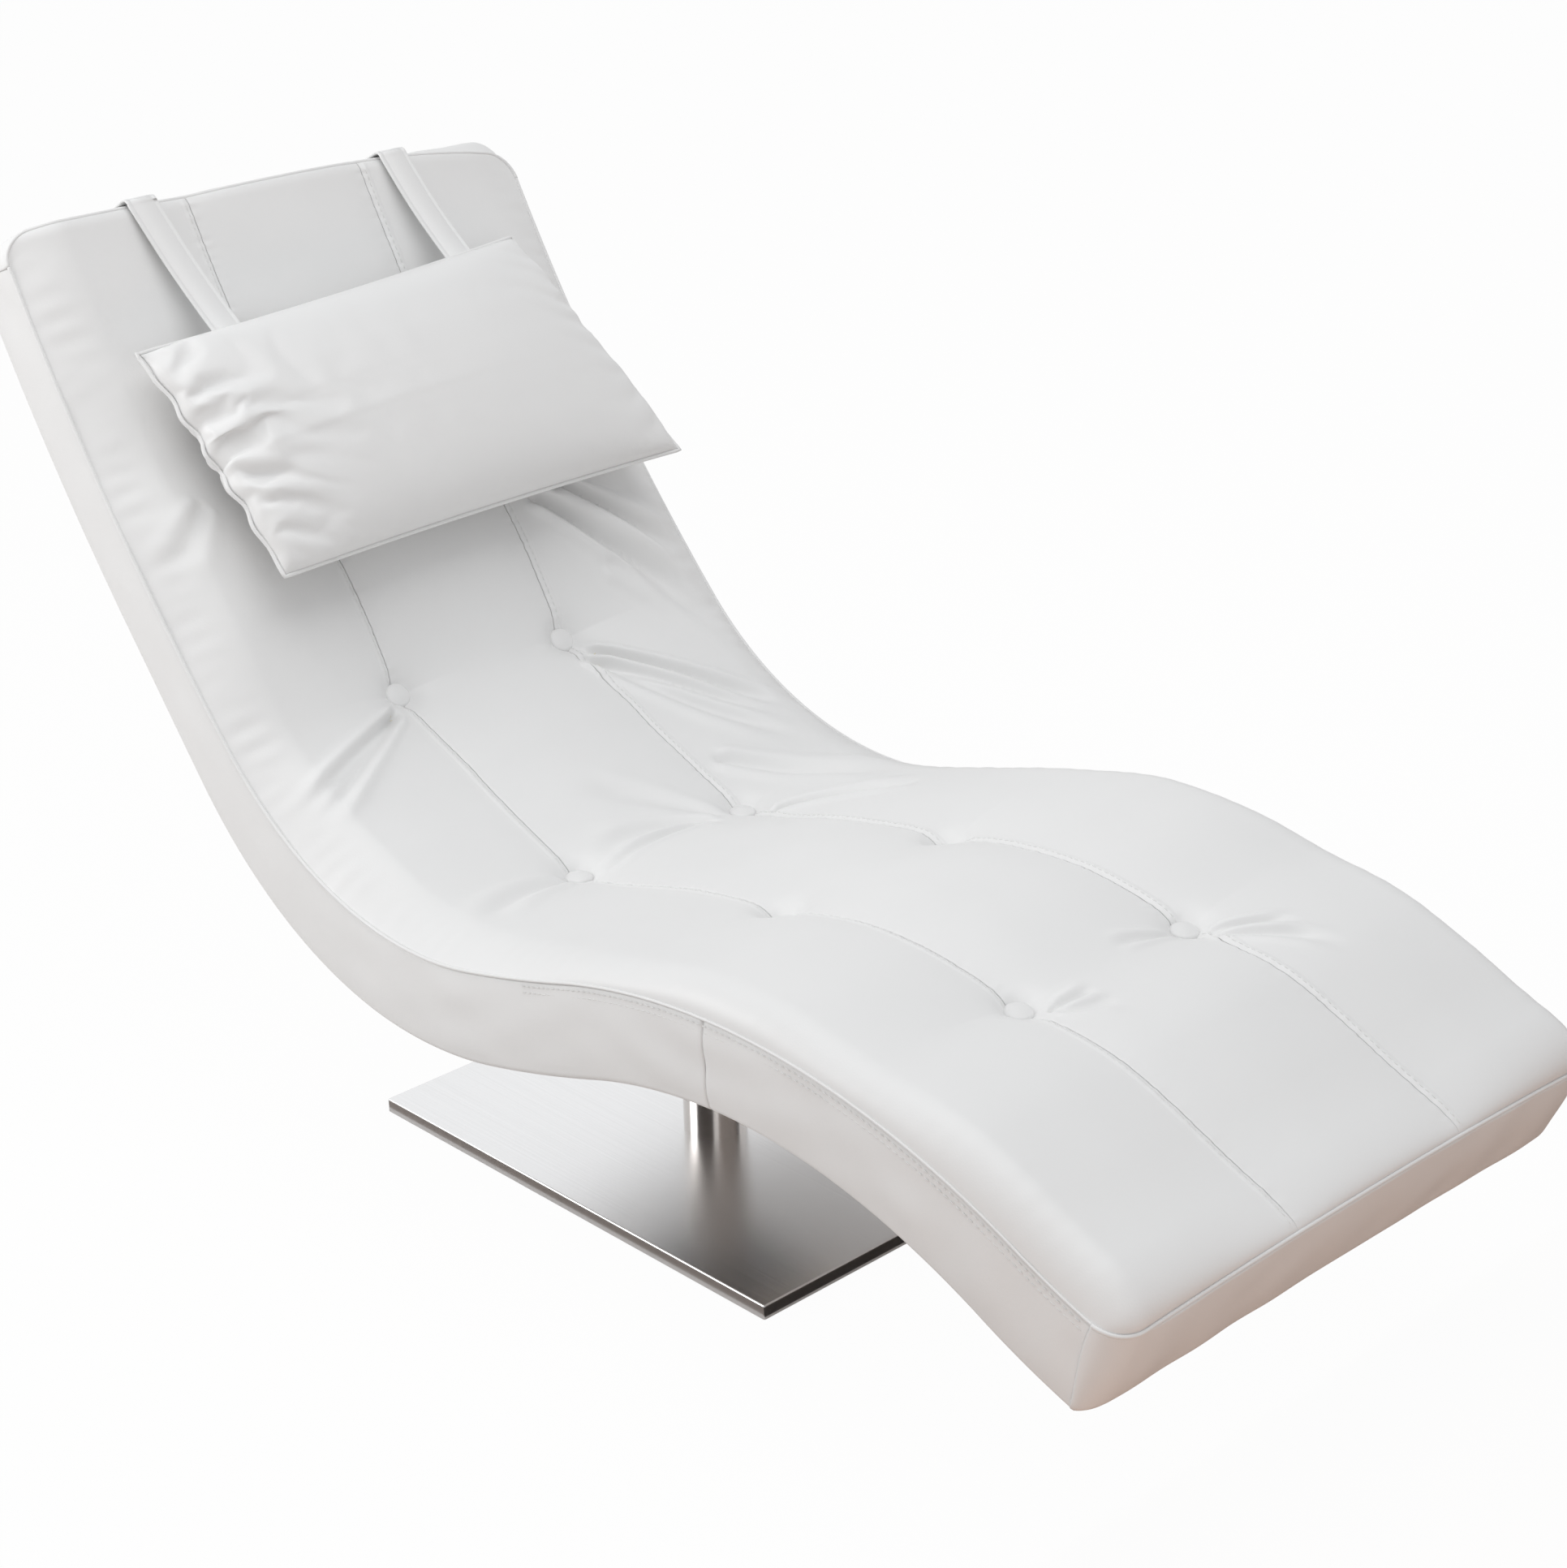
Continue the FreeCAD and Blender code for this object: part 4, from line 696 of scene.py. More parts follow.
# Side bands: puffed a little between the piping and the lower edge, rolled under at the bottom
band = {
    "bulge": 0.0030, "power": 0.7, "wave": 0.0009, "waveSize": 0.11, "waveSquash": 1.5, "inside": 0.0002,
    "underRound": 0.009, "underRows": 9, "topTuck": 0.0016, "tuckWidth": 0.006, "rows": 26, "pitch": 0.0030,
    "thickness": 0.0012, "skip": 2, "join": 1.270, "joinRound": 0.004, "joinDepth": 0.0014, "joinGap": 0.00015,
    "pullLength": 0.035, "pull": 0.0015, "pullTurns": 9.0, "endTrim": 0.008,
}


# Down the side the band bulges by a sine, dips at the join, and turns under through a quarter circle
def makeSideBand(name, side, start, end, node):
    b = band
    s = np.linspace(start, end, int((end - start) / b["pitch"]))[:, None]
    depth = thicknessAt(s)
    down = np.linspace(0.0, 1.0, b["rows"])[None, :]
    n = -b["topTuck"] - (depth - b["topTuck"] - b["underRound"]) * down
    fullness = np.sin(math.pi * np.clip(down, 0, 1)) ** b["power"]
    out = b["bulge"] * fullness
    out = out + b["wave"] * softNoise(s, n * b["waveSquash"], b["waveSize"], seed=21 + side) * fullness
    fromJoin = np.abs(s - b["join"])
    out = out - b["joinDepth"] * quarterDrop(np.clip(fromJoin / b["joinRound"], 0.0, 1.0))
    out = out + b["pull"] * np.exp(-fromJoin / b["pullLength"]) * np.sin(down * b["pullTurns"]) * fullness
    y = halfWidth - b["inside"] + out
    turn = np.linspace(0.0, math.pi / 2, b["underRows"])[None, 1:]
    under = -depth + b["underRound"] * (1 - np.sin(turn))
    underY = halfWidth - b["inside"] + out[:, -1:] - b["underRound"] * (1 - np.cos(turn))
    n = np.concatenate([n[:, :1], n, under], axis=1)
    y = np.concatenate([y[:, :1] - b["tuckWidth"], y, underY], axis=1)
    rolled = np.concatenate([np.zeros(b["rows"] + 1), np.linspace(0.0, 1.0, b["underRows"])[1:]])[None, :]
    rolled = rolled * b["endTrim"]
    points = bodyPoint(np.clip(s + 0 * n, rolled, seamLength - rolled), side * y, n)
    mesh = shellMesh(name, points, b["thickness"], b["skip"], flip=side < 0)
    addPiece(name, mesh, "leather", "seat", (node,))


for side, word in ((1, "left"), (-1, "right")):
    for part, start, end in (("head", 0.0, band["join"] - band["joinGap"]),
                             ("foot", band["join"] + band["joinGap"], seamLength)):
        makeSideBand("sideBand" + part.capitalize() + word.capitalize(), side, start, end,
                     "side_band_" + word + "_" + part)
print("side bands made")

# End bands: a crowned face that follows the rounded corners, puffed outward between its edges
endBand = {
    "bulge": 0.006, "out": 0.0006, "cornerColumns": 22, "middleColumns": 90, "rows": 30, "underTop": 0.001,
    "power": 0.6, "startShare": 0.06, "endShare": 0.94, "edgePuff": 0.4, "middlePuff": 0.6, "puffRun": 0.06,
    "wave": 0.0006, "waveSize": 0.09, "underRound": 0.010, "middleRound": 0.014, "turnedIn": 0.020, "turnedEnd": 0.004,
    "thickness": 0.0012, "skip": 2,
}


# Widths across an end: even steps round each corner's quarter circle and across the middle
def endColumns():
    r = profile["corner"]
    turn = np.linspace(0.0, math.pi / 2, endBand["cornerColumns"])
    corner = halfWidth - r * (1 - np.cos(turn))
    middle = np.linspace(-1, 1, endBand["middleColumns"])[1:-1] * (halfWidth - r)
    return np.concatenate([-corner, middle, corner[::-1]])


# Point of an end: the seam's end, moved outward square to the rounded outline
def endPoint(foot, out, y, n):
    end = seamLength if foot else 0.0
    ahead = np.cross(acrossBody, outwardAt(end)) * (1.0 if foot else -1.0)
    sideways = np.clip(1 - (halfWidth - np.abs(y)) / profile["corner"], 0.0, 1.0)
    across = acrossBody * (np.sign(y) * sideways)[..., None]
    out = np.asarray(out)[..., None]
    return bodyPoint(end, y, n) + (ahead * np.sqrt(1 - sideways ** 2)[..., None] + across) * out


# From the cover's edge down to the back the face puffs out by a sine, less at the corners, and rolls in below
def makeEndBand(name, foot, node):
    e = endBand
    s = seamLength if foot else 0.0
    depth = float(thicknessAt(np.array(s)))
    y = endColumns()[:, None]
    edge = topHeight(s, y) - e["underTop"]
    down = np.linspace(0.0, 1.0, e["rows"])[None, :]
    n = edge + (-depth - edge) * down
    fullness = np.sin(math.pi * (e["startShare"] + e["endShare"] * down)) ** e["power"]
    puff = e["bulge"] * (e["edgePuff"] + e["middlePuff"] * smoothStep((halfWidth - np.abs(y)) / e["puffRun"]))
    out = e["out"] + puff * fullness + e["wave"] * softNoise(y, n, e["waveSize"], seed=33 + foot) * fullness
    under = e["underRound"] + foot * e["middleRound"] * np.clip(1 - (y / halfWidth) ** 2, 0.0, 1.0)
    out = np.maximum(out - under * quarterDrop(np.clip((n + depth) / under, 0, 1)), -e["turnedIn"])
    n = np.concatenate([n, n[:, -1:], n[:, -1:]], axis=1)
    out = np.concatenate([out, (out[:, -1:] - e["turnedIn"]) / 2, 0 * y - e["turnedIn"] - e["turnedEnd"]], axis=1)
    mesh = shellMesh(name, endPoint(foot, out, y + 0 * n, n), e["thickness"], e["skip"], flip=foot)
    addPiece(name, mesh, "leather", "seat", (node,))


# Piping in the side seams and along the crowned edge of both ends
piping = {"radius": 0.0019, "legRadius": 0.0013, "out": 0.0006, "endOut": 0.0009, "endSink": 0.0006,
          "sinkRun": 0.002, "endHint": (0.3, 0.0, 1.0), "stations": 700, "sides": 10}


# The side piping thins out towards the leg part
def makeSidePiping(word, side):
    s = np.linspace(0.0, seamLength, piping["stations"])
    path = bodyPoint(s, side * (halfWidth + piping["out"]), 0.0 * s)
    radius = piping["radius"] + (piping["legRadius"] - piping["radius"]) * legShare(s)
    points = tubePoints(path, radius, acrossBody, piping["sides"])
    addBar("sidePiping" + word, points, "leather", "seat", ("side_piping",) if word == "Left" else ())


# The end piping follows the cover's edge round the corners
def makeEndPiping(name, foot):
    y = endColumns()
    n = topHeight(seamLength if foot else 0.0, y)
    n = n - piping["endSink"] * smoothStep(n / piping["sinkRun"])
    path = endPoint(foot, np.full(y.shape, piping["endOut"]), y, n)
    points = tubePoints(path, piping["radius"], np.array(piping["endHint"]), piping["sides"])
    addBar(name, points, "leather", "seat", ("end_piping",) if foot else ())


makeSidePiping("Right", -1)
makeSidePiping("Left", 1)
makeEndBand("headBand", False, "head_band")
makeEndBand("footBand", True, "foot_band")
makeEndPiping("headPiping", False)
makeEndPiping("footPiping", True)
print("end bands and piping made")

# Back cover: a flat sheet between the rolled edges, open around the mounting plate
under = {"rows": 420, "columns": 90, "endRoom": 0.0085, "middleRoom": 0.014, "opening": 0.088, "thickness": 0.0012,
         "overlap": 0.001, "below": 0.0004}


# The sheet follows the body's thickness, and its foot edge is drawn back most in the middle
def makeBackCover():
    u = under
    y = np.linspace(-1.0, 1.0, u["columns"])[None, :] * (halfWidth - band["underRound"] + u["overlap"])
    footRoom = u["endRoom"] + u["middleRoom"] * (1 - (y / halfWidth) ** 2)
    s = u["endRoom"] + (seamLength - u["endRoom"] - footRoom) * np.linspace(0.0, 1.0, u["rows"])[:, None]
    points = bodyPoint(s, y + 0 * s, -thicknessAt(s) - u["below"])
    keep = ~((np.abs(points[..., 0]) < u["opening"]) & (np.abs(points[..., 1]) < u["opening"]))
    mesh = gridMesh("backCover", points, flip=True, keep=keep)
    piece = addPiece("backCover", mesh, "leather", "seat", ("back_cover",))
    wall = piece.modifiers.new("wall", "SOLIDIFY")
    wall.thickness = u["thickness"]
    wall.offset = -1.0


makeBackCover()
print("back cover made")

# Covered buttons: a low dome over a rounded rim, sitting in each dimple, with a twine down to its anchor
button = {
    "radius": 0.0135, "dome": 0.0042, "domeShare": 0.55, "domeDrop": 0.62, "rim": 0.0036, "rimShare": 0.45,
    "rimTuck": 0.35, "sinks": (-0.0014, -0.0014, -0.0010, 0.0014, -0.0008), "rings": 18, "sides": 40,
    "tuck": 0.00018, "tuckCount": 14, "tuckRun": 0.3, "twineFoot": -0.0304, "twineRadius": 0.001, "twineSteps": 12,
    "twineSides": 8,
}


# The dome is a parabola over the inner share, and the rim a half circle round it that tucks in below
def buttonShape():
    b = button
    share = np.linspace(0.0, 1.0, b["rings"])[:, None]
    angle = np.linspace(0, 2 * math.pi, b["sides"], endpoint=False)[None, :]
    turn = np.clip((share - b["domeShare"]) / b["rimShare"], 0, 1) * math.pi
    inner = share / b["domeShare"]
    rimOut = b["rim"] * np.sin(turn) * (turn <= math.pi / 2)
    rimIn = (b["rim"] - b["rim"] * b["rimTuck"] * (1 - np.sin(turn))) * (turn > math.pi / 2)
    radius = np.where(share < b["domeShare"], inner * (b["radius"] - b["rim"]), b["radius"] - b["rim"] + rimOut + rimIn)
    height = np.where(share < b["domeShare"], b["dome"] * (1 - (inner * b["domeDrop"]) ** 2),
                      b["dome"] * (1 - b["domeDrop"] ** 2) - b["rim"] * (1 - np.cos(turn)))
    tucks = b["tuck"] * np.cos(angle * b["tuckCount"]) * np.clip((share - b["domeShare"]) / b["tuckRun"], 0, 1)
    return np.stack([(radius + tucks) * np.cos(angle), (radius + tucks) * np.sin(angle), height + 0 * angle], axis=-1)


# Each button stands on the cover's height beside the channel, less its own sink
def makeButtons():
    b = button
    flat = buttonShape()
    for row, station in enumerate(tuftStations):
        up = outwardAt(station)
        ahead = np.cross(acrossBody, up)
        low = float(topHeight(station, channelY + crown["seamRound"])) - b["sinks"][row] + 2 * b["rim"]
        for side, word in ((1, "Left"), (-1, "Right")):
            first = row == 0 and side == 1
            title = word + str(row + 1)
            points = (bodyPoint(station, side * channelY, low) + flat[..., :1] * ahead + flat[..., 1:2] * acrossBody
                      + flat[..., 2:3] * up)
            mesh = gridMesh("tuftButton" + title, points, closeSecond=True)
            addPiece("tuftButton" + title, mesh, "leather", "seat", ("tuft_buttons",) if first else ())
            n = np.linspace(b["twineFoot"], low - b["rim"], b["twineSteps"])
            points = tubePoints(bodyPoint(station, side * channelY, n), b["twineRadius"], acrossBody, b["twineSides"])
            addBar("tuftTwine" + title, points, "thread", "seat", ("tuft_twines",) if first else ())


makeButtons()
print("buttons made")

# Pillow: its plane leans and turns a little against the back; its cover starts flat and is blown up as cloth
pillow = {
    "station": 0.279, "shift": 0.0195, "height": 0.080, "pitch": 5.0, "turn": 4.5,
    "corners": ((-0.267, -0.139), (0.222, -0.131), (0.267, 0.155), (-0.253, 0.123)),
    "pull": 0.004, "rise": 0.058, "sag": 0.047, "power": 0.44, "columns": 116, "rows": 64,
    "scallop": 0.0032, "scallopTurns": 17.0, "scallopSway": 1.1, "swayTurns": 3, "scallopReach": 0.07,
    "spreadLong": 1.03, "spreadShort": 1.09, "startRise": 0.016, "jitter": 0.0012, "jitterSize": 0.045,
    "frames": 20, "gatherRun": 0.10, "edgeWave": 0.7, "seamRadius": 0.0021, "seamSides": 8,
    "smoothing": 7.0, "smoothReach": 3, "nearWrinkles": 1.1, "nearReach": 0.27, "farWrinkles": 0.45,
    "farReach": 0.12, "allWrinkles": 0.08, "mostWrinkles": 1.2, "wrinklePower": 1.5,
}
pillowCloth = {
    "quality": 6, "mass": 0.25, "tension_stiffness": 22.0, "compression_stiffness": 22.0, "shear_stiffness": 8.0,
    "bending_stiffness": 1.4, "use_pressure": True, "uniform_pressure_force": 4.0,
    "vertex_group_shrink": "gathered", "shrink_min": 0.0, "shrink_max": 0.10,
}


# The pillow's middle and axes: the body's own at its station, pitched about y and then turned in its plane
def pillowFrame():
    p = pillow
    middle = bodyPoint(p["station"], 0.0, 0.0)
    normal = outwardAt(p["station"])
    along = np.cross(acrossBody, normal)
    pitch, turn = math.radians(p["pitch"]), math.radians(p["turn"])
    down = along * math.cos(pitch) + normal * math.sin(pitch)
    out = normal * math.cos(pitch) - along * math.sin(pitch)
    acrossTurned = acrossBody * math.cos(turn) - down * math.sin(turn)
    downTurned = acrossBody * math.sin(turn) + down * math.cos(turn)
    center = middle + normal * p["height"] + np.array([0.0, p["shift"], 0.0])
    return center, acrossTurned, downTurned, out


# The outline blends its corners over the grid, its sides pull in a little, and its near end is scalloped
def pillowOutline(u, v):
    p = pillow
    weights = ((1 - u) * (1 - v) / 4, (1 + u) * (1 - v) / 4, (1 + u) * (1 + v) / 4, (1 - u) * (1 + v) / 4)
    flat = sum(w[..., None] * corner for w, corner in zip(weights, np.array(p["corners"])))
    flat[..., 0] -= p["pull"] * u * (1 - v ** 2)
    flat[..., 1] -= p["pull"] * v * (1 - u ** 2)
    waves = np.sin(p["scallopTurns"] * v + p["scallopSway"] * np.sin(p["swayTurns"] * v)) * (1 - v ** 2)
    flat[..., 0] += p["scallop"] * waves * np.exp(-(1 + u) / p["scallopReach"])
    return flat


# Two grids that share their rim make one closed bag: first the face, then the back without its rim
def bagMesh(name, face, back):
    rows, columns = face.shape[:2]
    faceIndex = np.arange(rows * columns).reshape(rows, columns)
    backIndex = faceIndex.copy()
    backIndex[1:-1, 1:-1] = rows * columns + np.arange((rows - 2) * (columns - 2)).reshape(rows - 2, columns - 2)
    faces = []
    for index, order in ((faceIndex, 1), (backIndex, -1)):
        quads = np.stack([index[:-1, :-1], index[1:, :-1], index[1:, 1:], index[:-1, 1:]], axis=-1).reshape(-1, 4)
        faces.append(quads[:, ::order])
    points = np.concatenate([face.reshape(-1, 3), back[1:-1, 1:-1].reshape(-1, 3)])
    return faceMesh(name, points, np.concatenate(faces).tolist()), faceIndex, backIndex


# Blows a flat bag up as cloth, with its two short ends gathered, and returns where its points end
def blowUp(mesh, gathered):
    bag = addObject("pillowCloth", mesh)
    group = bag.vertex_groups.new(name=pillowCloth["vertex_group_shrink"])
    for index in np.flatnonzero(gathered > 0).tolist():
        group.add([index], float(gathered[index]), "REPLACE")
    cloth = bag.modifiers.new("cloth", "CLOTH")
    for key, value in pillowCloth.items():
        setattr(cloth.settings, key, value)
    cloth.settings.effector_weights.gravity = 0.0
    cloth.point_cache.frame_start = 1
    cloth.point_cache.frame_end = pillow["frames"]
    for number in range(1, pillow["frames"] + 1):
        bpy.context.scene.frame_set(number)
    blown = bag.evaluated_get(bpy.context.evaluated_depsgraph_get()).to_mesh()
    points = np.empty(len(blown.vertices) * 3)
    blown.vertices.foreach_get("co", points)
    bpy.data.objects.remove(bag)
    bpy.context.scene.frame_set(1)
    return points.reshape(-1, 3)


# Spreads the moves of a grid's rim linearly over the grid
def rimBlend(moves):
    rows, columns = moves.shape[:2]
    a = np.linspace(0, 1, rows)[:, None, None]
    b = np.linspace(0, 1, columns)[None, :, None]
    sides = (1 - a) * moves[:1] + a * moves[-1:] + (1 - b) * moves[:, :1] + b * moves[:, -1:]
    corners = ((1 - a) * (1 - b) * moves[0, 0] + a * (1 - b) * moves[-1, 0] + (1 - a) * b * moves[0, -1]
               + a * b * moves[-1, -1])
    return sides - corners


# Bell-weighted average over neighbours in both directions of a grid
def smoothGrid(grid, spread):
    reach = int(pillow["smoothReach"] * spread)
    weights = np.exp(-(np.arange(-reach, reach + 1) / spread) ** 2 / 2)
    weights /= weights.sum()
    for axis in (0, 1):
        padding = [(reach, reach) if k == axis else (0, 0) for k in range(3)]
        padded = np.pad(grid, padding, mode="reflect", reflect_type="odd")
        count = grid.shape[axis]
        grid = sum(w * np.take(padded, np.arange(count) + k, axis=axis) for k, w in enumerate(weights))
    return grid


# The shape is a plain bulge over the outline plus the cloth's wrinkles, which are what smoothing takes away.
# They are kept by a share that is largest at the near end, and the rim is brought back onto the outline.
def makePillow():
    p = pillow
    u, v = np.meshgrid(np.linspace(-1, 1, p["columns"]), np.linspace(-1, 1, p["rows"]), indexing="ij")
    outline = pillowOutline(u, v)
    flat = outline * np.array([p["spreadLong"], p["spreadShort"]])
    fullness = (np.clip(1 - u ** 2, 0, 1) * np.clip(1 - v ** 2, 0, 1)) ** p["power"]
    jitter = p["jitter"] * softNoise(flat[..., 0], flat[..., 1], p["jitterSize"], seed=61) * fullness
    face = np.concatenate([flat, (p["startRise"] * fullness + jitter)[..., None]], axis=-1)
    back = np.concatenate([flat, (jitter - p["startRise"] * fullness)[..., None]], axis=-1)
    mesh, faceIndex, backIndex = bagMesh("pillowFlat", face, back)
    shares = np.concatenate([u.reshape(-1), u[1:-1, 1:-1].reshape(-1)])
    blown = blowUp(mesh, smoothStep((np.abs(shares) - 1 + p["gatherRun"]) / p["gatherRun"]))
    face, back = blown[faceIndex], blown[backIndex]
    blend = rimBlend(np.concatenate([outline - face[..., :2], (p["edgeWave"] - 1) * face[..., 2:]], axis=-1))
    share = (p["allWrinkles"] + p["nearWrinkles"] * np.exp(-((1 + u) / p["nearReach"]) ** p["wrinklePower"])
             + p["farWrinkles"] * np.exp(-((1 - u) / p["farReach"]) ** p["wrinklePower"]))
    grids = []
    for grid, height in ((face + blend, p["rise"]), (back + blend, -p["sag"])):
        calm = smoothGrid(grid, p["smoothing"])
        wrinkles = (grid - calm) * np.minimum(share, p["mostWrinkles"])[..., None]
        plain = np.concatenate([outline, height * fullness[..., None]], axis=-1)
        grids.append(plain + wrinkles - rimBlend(wrinkles) * np.array([1.0, 1.0, 1 - p["edgeWave"]]))
    face, back = grids
    rim = np.concatenate([face[:, 0], face[-1, 1:], face[-2::-1, -1], face[0, -2:0:-1]])
    center, across, down, out = pillowFrame()
    axes = np.stack([across, down, out])
    mesh = bagMesh("pillow", center + face @ axes, center + back @ axes)[0]
    piece = addPiece("pillow", mesh, "leather", "pillow", ("pillow_cover_face", "pillow_cover_back", "pillow_filling"))
    smoother = piece.modifiers.new("smoother", "SUBSURF")
    smoother.levels = 1
    smoother.render_levels = 1
    loop = center + rim @ axes
    ahead = np.roll(loop, -1, axis=0) - np.roll(loop, 1, axis=0)
    points = ringPoints(loop, ahead, out, p["seamRadius"], p["seamSides"])
    addPiece("pillowSeam", gridMesh("pillowSeam", points, closeFirst=True, closeSecond=True), "leather", "pillow")


makePillow()
print("pillow made")

# Straps: flat bands from the pillow's upper seam over the head end, down the back to their tails
strap = {
    "width": 0.035, "thickness": 0.0024, "headShift": -0.008, "spacing": 0.316, "pillowShift": -0.0055,
    "pillowSpacing": 0.305, "pillowEdge": 0.128, "tailStart": 0.072, "tailLength": 0.180, "patches": 0.0036,
    "tailGap": 0.0012, "tailSteps": 40, "crestStation": 0.004, "crestLift": 0.006, "frontSteps": 40,
    "frontSag": 0.004, "bendRadius": 0.0075, "bendStart": 0.15, "bendSteps": 10, "downSteps": 14,
    "hookRadius": 0.006, "hookStart": 0.2, "hookSteps": 8, "hookDepth": 0.0022, "hookOut": 0.7, "lastSteps": 14,
    "split": 4, "blendIn": 2, "turnSteps": 30.0, "edgeSteps": 6,
    "hem": ((0.385, 1.0), (0.36, 0.45), (0.335, 1.0), (-0.335, 1.0), (-0.36, 0.45), (-0.385, 1.0)),
}


# Points on the straight line between two points, without the first one
def straightRun(start, end, count):
    t = np.linspace(0, 1, count)[1:, None]
    return start * (1 - t) + end * t


# A strap's line: with a slight sag from the pillow to the crest, round it and straight down the head end, round
# its lower edge and straight to the tail; both bends are parts of a circle
def strapPath(side):
    st = strap
    center, across, down = pillowFrame()[:3]
    y = st["headShift"] + side * st["spacing"] / 2
    start = center + across * (st["pillowShift"] + side * st["pillowSpacing"] / 2) - down * st["pillowEdge"]
    crest = bodyPoint(0.0, y, float(topHeight(st["crestStation"], y)) + st["crestLift"])
    up = outwardAt(0.0)
    ahead = np.cross(acrossBody, up)
    t = np.linspace(0, 1, st["frontSteps"])[:, None]
    front = start * (1 - t) + crest * t
    front = front - up * (st["frontSag"] * np.sin(math.pi * t))
    bendRadius, hookRadius = st["bendRadius"], st["hookRadius"]
    turn = np.linspace(st["bendStart"], math.pi / 2, st["bendSteps"])[:, None]
    bend = crest + ahead * (-np.sin(turn) * bendRadius) - up * ((1 - np.cos(turn)) * bendRadius)
    depth = float(thicknessAt(np.array(0.0)))
    low = bodyPoint(0.0, y, -depth - st["hookDepth"]) - ahead * bendRadius * st["hookOut"]
    downRun = straightRun(bend[-1], low + up * hookRadius, st["downSteps"])
    turn = np.linspace(st["hookStart"], math.pi / 2, st["hookSteps"])[:, None]
    hook = low + up * hookRadius + ahead * ((1 - np.cos(turn)) * hookRadius) - up * (np.sin(turn) * hookRadius)
    tailDepth = float(thicknessAt(np.array(st["tailStart"])))
    tail = bodyPoint(st["tailStart"], y, -tailDepth - st["patches"] - st["tailGap"])
    last = straightRun(hook[-1], tail, st["lastSteps"])
    path = np.concatenate([front, bend, downRun, hook, last])
    return path, len(front), len(path) - len(last) - 1


# A band: a flat hemmed section with rounded edges carried along a path, turned to lie on the surface
def bandPoints(path, acrossStart):
    width, thickness = strap["width"], strap["thickness"]
    ahead = unit(np.gradient(path, axis=0))
    blend = smoothStep(1 - np.arange(len(path)) / strap["turnSteps"])[:, None]
    side = acrossBody * (1 - blend) + acrossStart * blend
    side = unit(side - ahead * np.sum(side * ahead, axis=1, keepdims=True))
    up = np.cross(side, ahead)
    turn = np.linspace(-math.pi / 2, math.pi / 2, strap["edgeSteps"])
    edge = np.stack([width / 2 - thickness / 2 + thickness / 2 * np.cos(turn), thickness / 2 * np.sin(turn)], axis=-1)
    hem = np.array(strap["hem"]) * np.array([width, thickness / 2])
    section = np.concatenate([edge, hem, edge * np.array([-1.0, -1.0])])
    return path[:, None, :] + section[None, :, :1] * side[:, None, :] + section[None, :, 1:] * up[:, None, :]


# The front runs between the pillow and the head end, and the rear between the head end and its tail
def makeStraps():
    st = strap
    across = pillowFrame()[1]
    for side, word in ((1, "left"), (-1, "right")):
        path, frontCount, hookEnd = strapPath(side)
        points = bandPoints(path, across)
        title = word.capitalize()
        split = frontCount + st["split"]
        front = addBar("strapFront" + title, points[:split + 1], "leather", None, ("strap_" + word,))
        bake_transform(front)
        rear = addBar("strapRear" + title, points[split:], "leather", None)
        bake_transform(rear)
        y = st["headShift"] + side * st["spacing"] / 2
        s = np.linspace(st["tailStart"], st["tailStart"] + st["tailLength"], st["tailSteps"])
        tailPath = bodyPoint(s, y, -thicknessAt(s) - st["patches"] - st["tailGap"])
        addBar("strapTail" + title, bandPoints(tailPath, acrossBody), "leather", "strap_tails",
               ("strap_tail_" + word,))


makeStraps()
print("straps made")

# Stitching: one row beside each channel, two rows under the leg part of the side seams
stitching = {
    "length": 0.0050, "pitch": 0.0072, "radius": 0.00058, "beside": 0.0050, "channelLift": 0.0001,
    "channelEnd": 0.006, "channelSteps": 900, "legStart": 1.02, "legEnd": 0.010, "legSteps": 500,
    "legDrops": (0.006, 0.012), "legOut": 0.0012, "legLift": 0.0002, "sides": 6,
    "shares": (0.0, 0.12, 0.5, 0.88, 1.0), "fullness": (0.25, 0.8, 1.0, 0.8, 0.25),
}


# One small rounded bar per pitch along a path, merged into one mesh
def addStitches(name, path, outward, lift):
    t = stitching
    gaps = np.linalg.norm(np.diff(path, axis=0), axis=1)
    run = np.concatenate([[0.0], np.cumsum(gaps)])
    starts = np.arange(t["pitch"] / 2, run[-1] - t["length"], t["pitch"])
    places = (starts[:, None] + np.array(t["shares"])[None, :] * t["length"]).reshape(-1)
    directions = np.stack([np.gradient(path[:, k], run) for k in range(3)], axis=-1)
    center, up, ahead = (np.stack([np.interp(places, run, values[:, k]) for k in range(3)], axis=-1)
                         for values in (path, outward, directions))
    up, ahead = unit(up), unit(ahead)
    side = np.cross(ahead, up)
    radius = np.tile(np.array(t["fullness"]), len(starts)) * t["radius"]
    angle = np.linspace(0, 2 * math.pi, t["sides"], endpoint=False)[None, :, None]
    ring = side[:, None, :] * np.cos(angle) + up[:, None, :] * np.sin(angle)
    points = center[:, None, :] + up[:, None, :] * lift + ring * radius[:, None, None]
    perStitch = len(t["shares"]) * t["sides"]
    block = np.arange(perStitch).reshape(len(t["shares"]), t["sides"])
    a, b = block[:-1], block[1:]
    shifts = np.arange(len(starts))[:, None, None] * perStitch
    quads = np.stack([a, np.roll(a, -1, 1), np.roll(b, -1, 1), b], axis=-1).reshape(-1, 4)
    quads = (quads[None] + shifts).reshape(-1, 4)
    caps = (np.stack([block[0][::-1], block[-1]])[None] + shifts).reshape(-1, t["sides"])
    mesh = faceMesh(name, points.reshape(-1, 3), quads.tolist() + caps.tolist())
    addPiece(name, mesh, "thread", "seat")


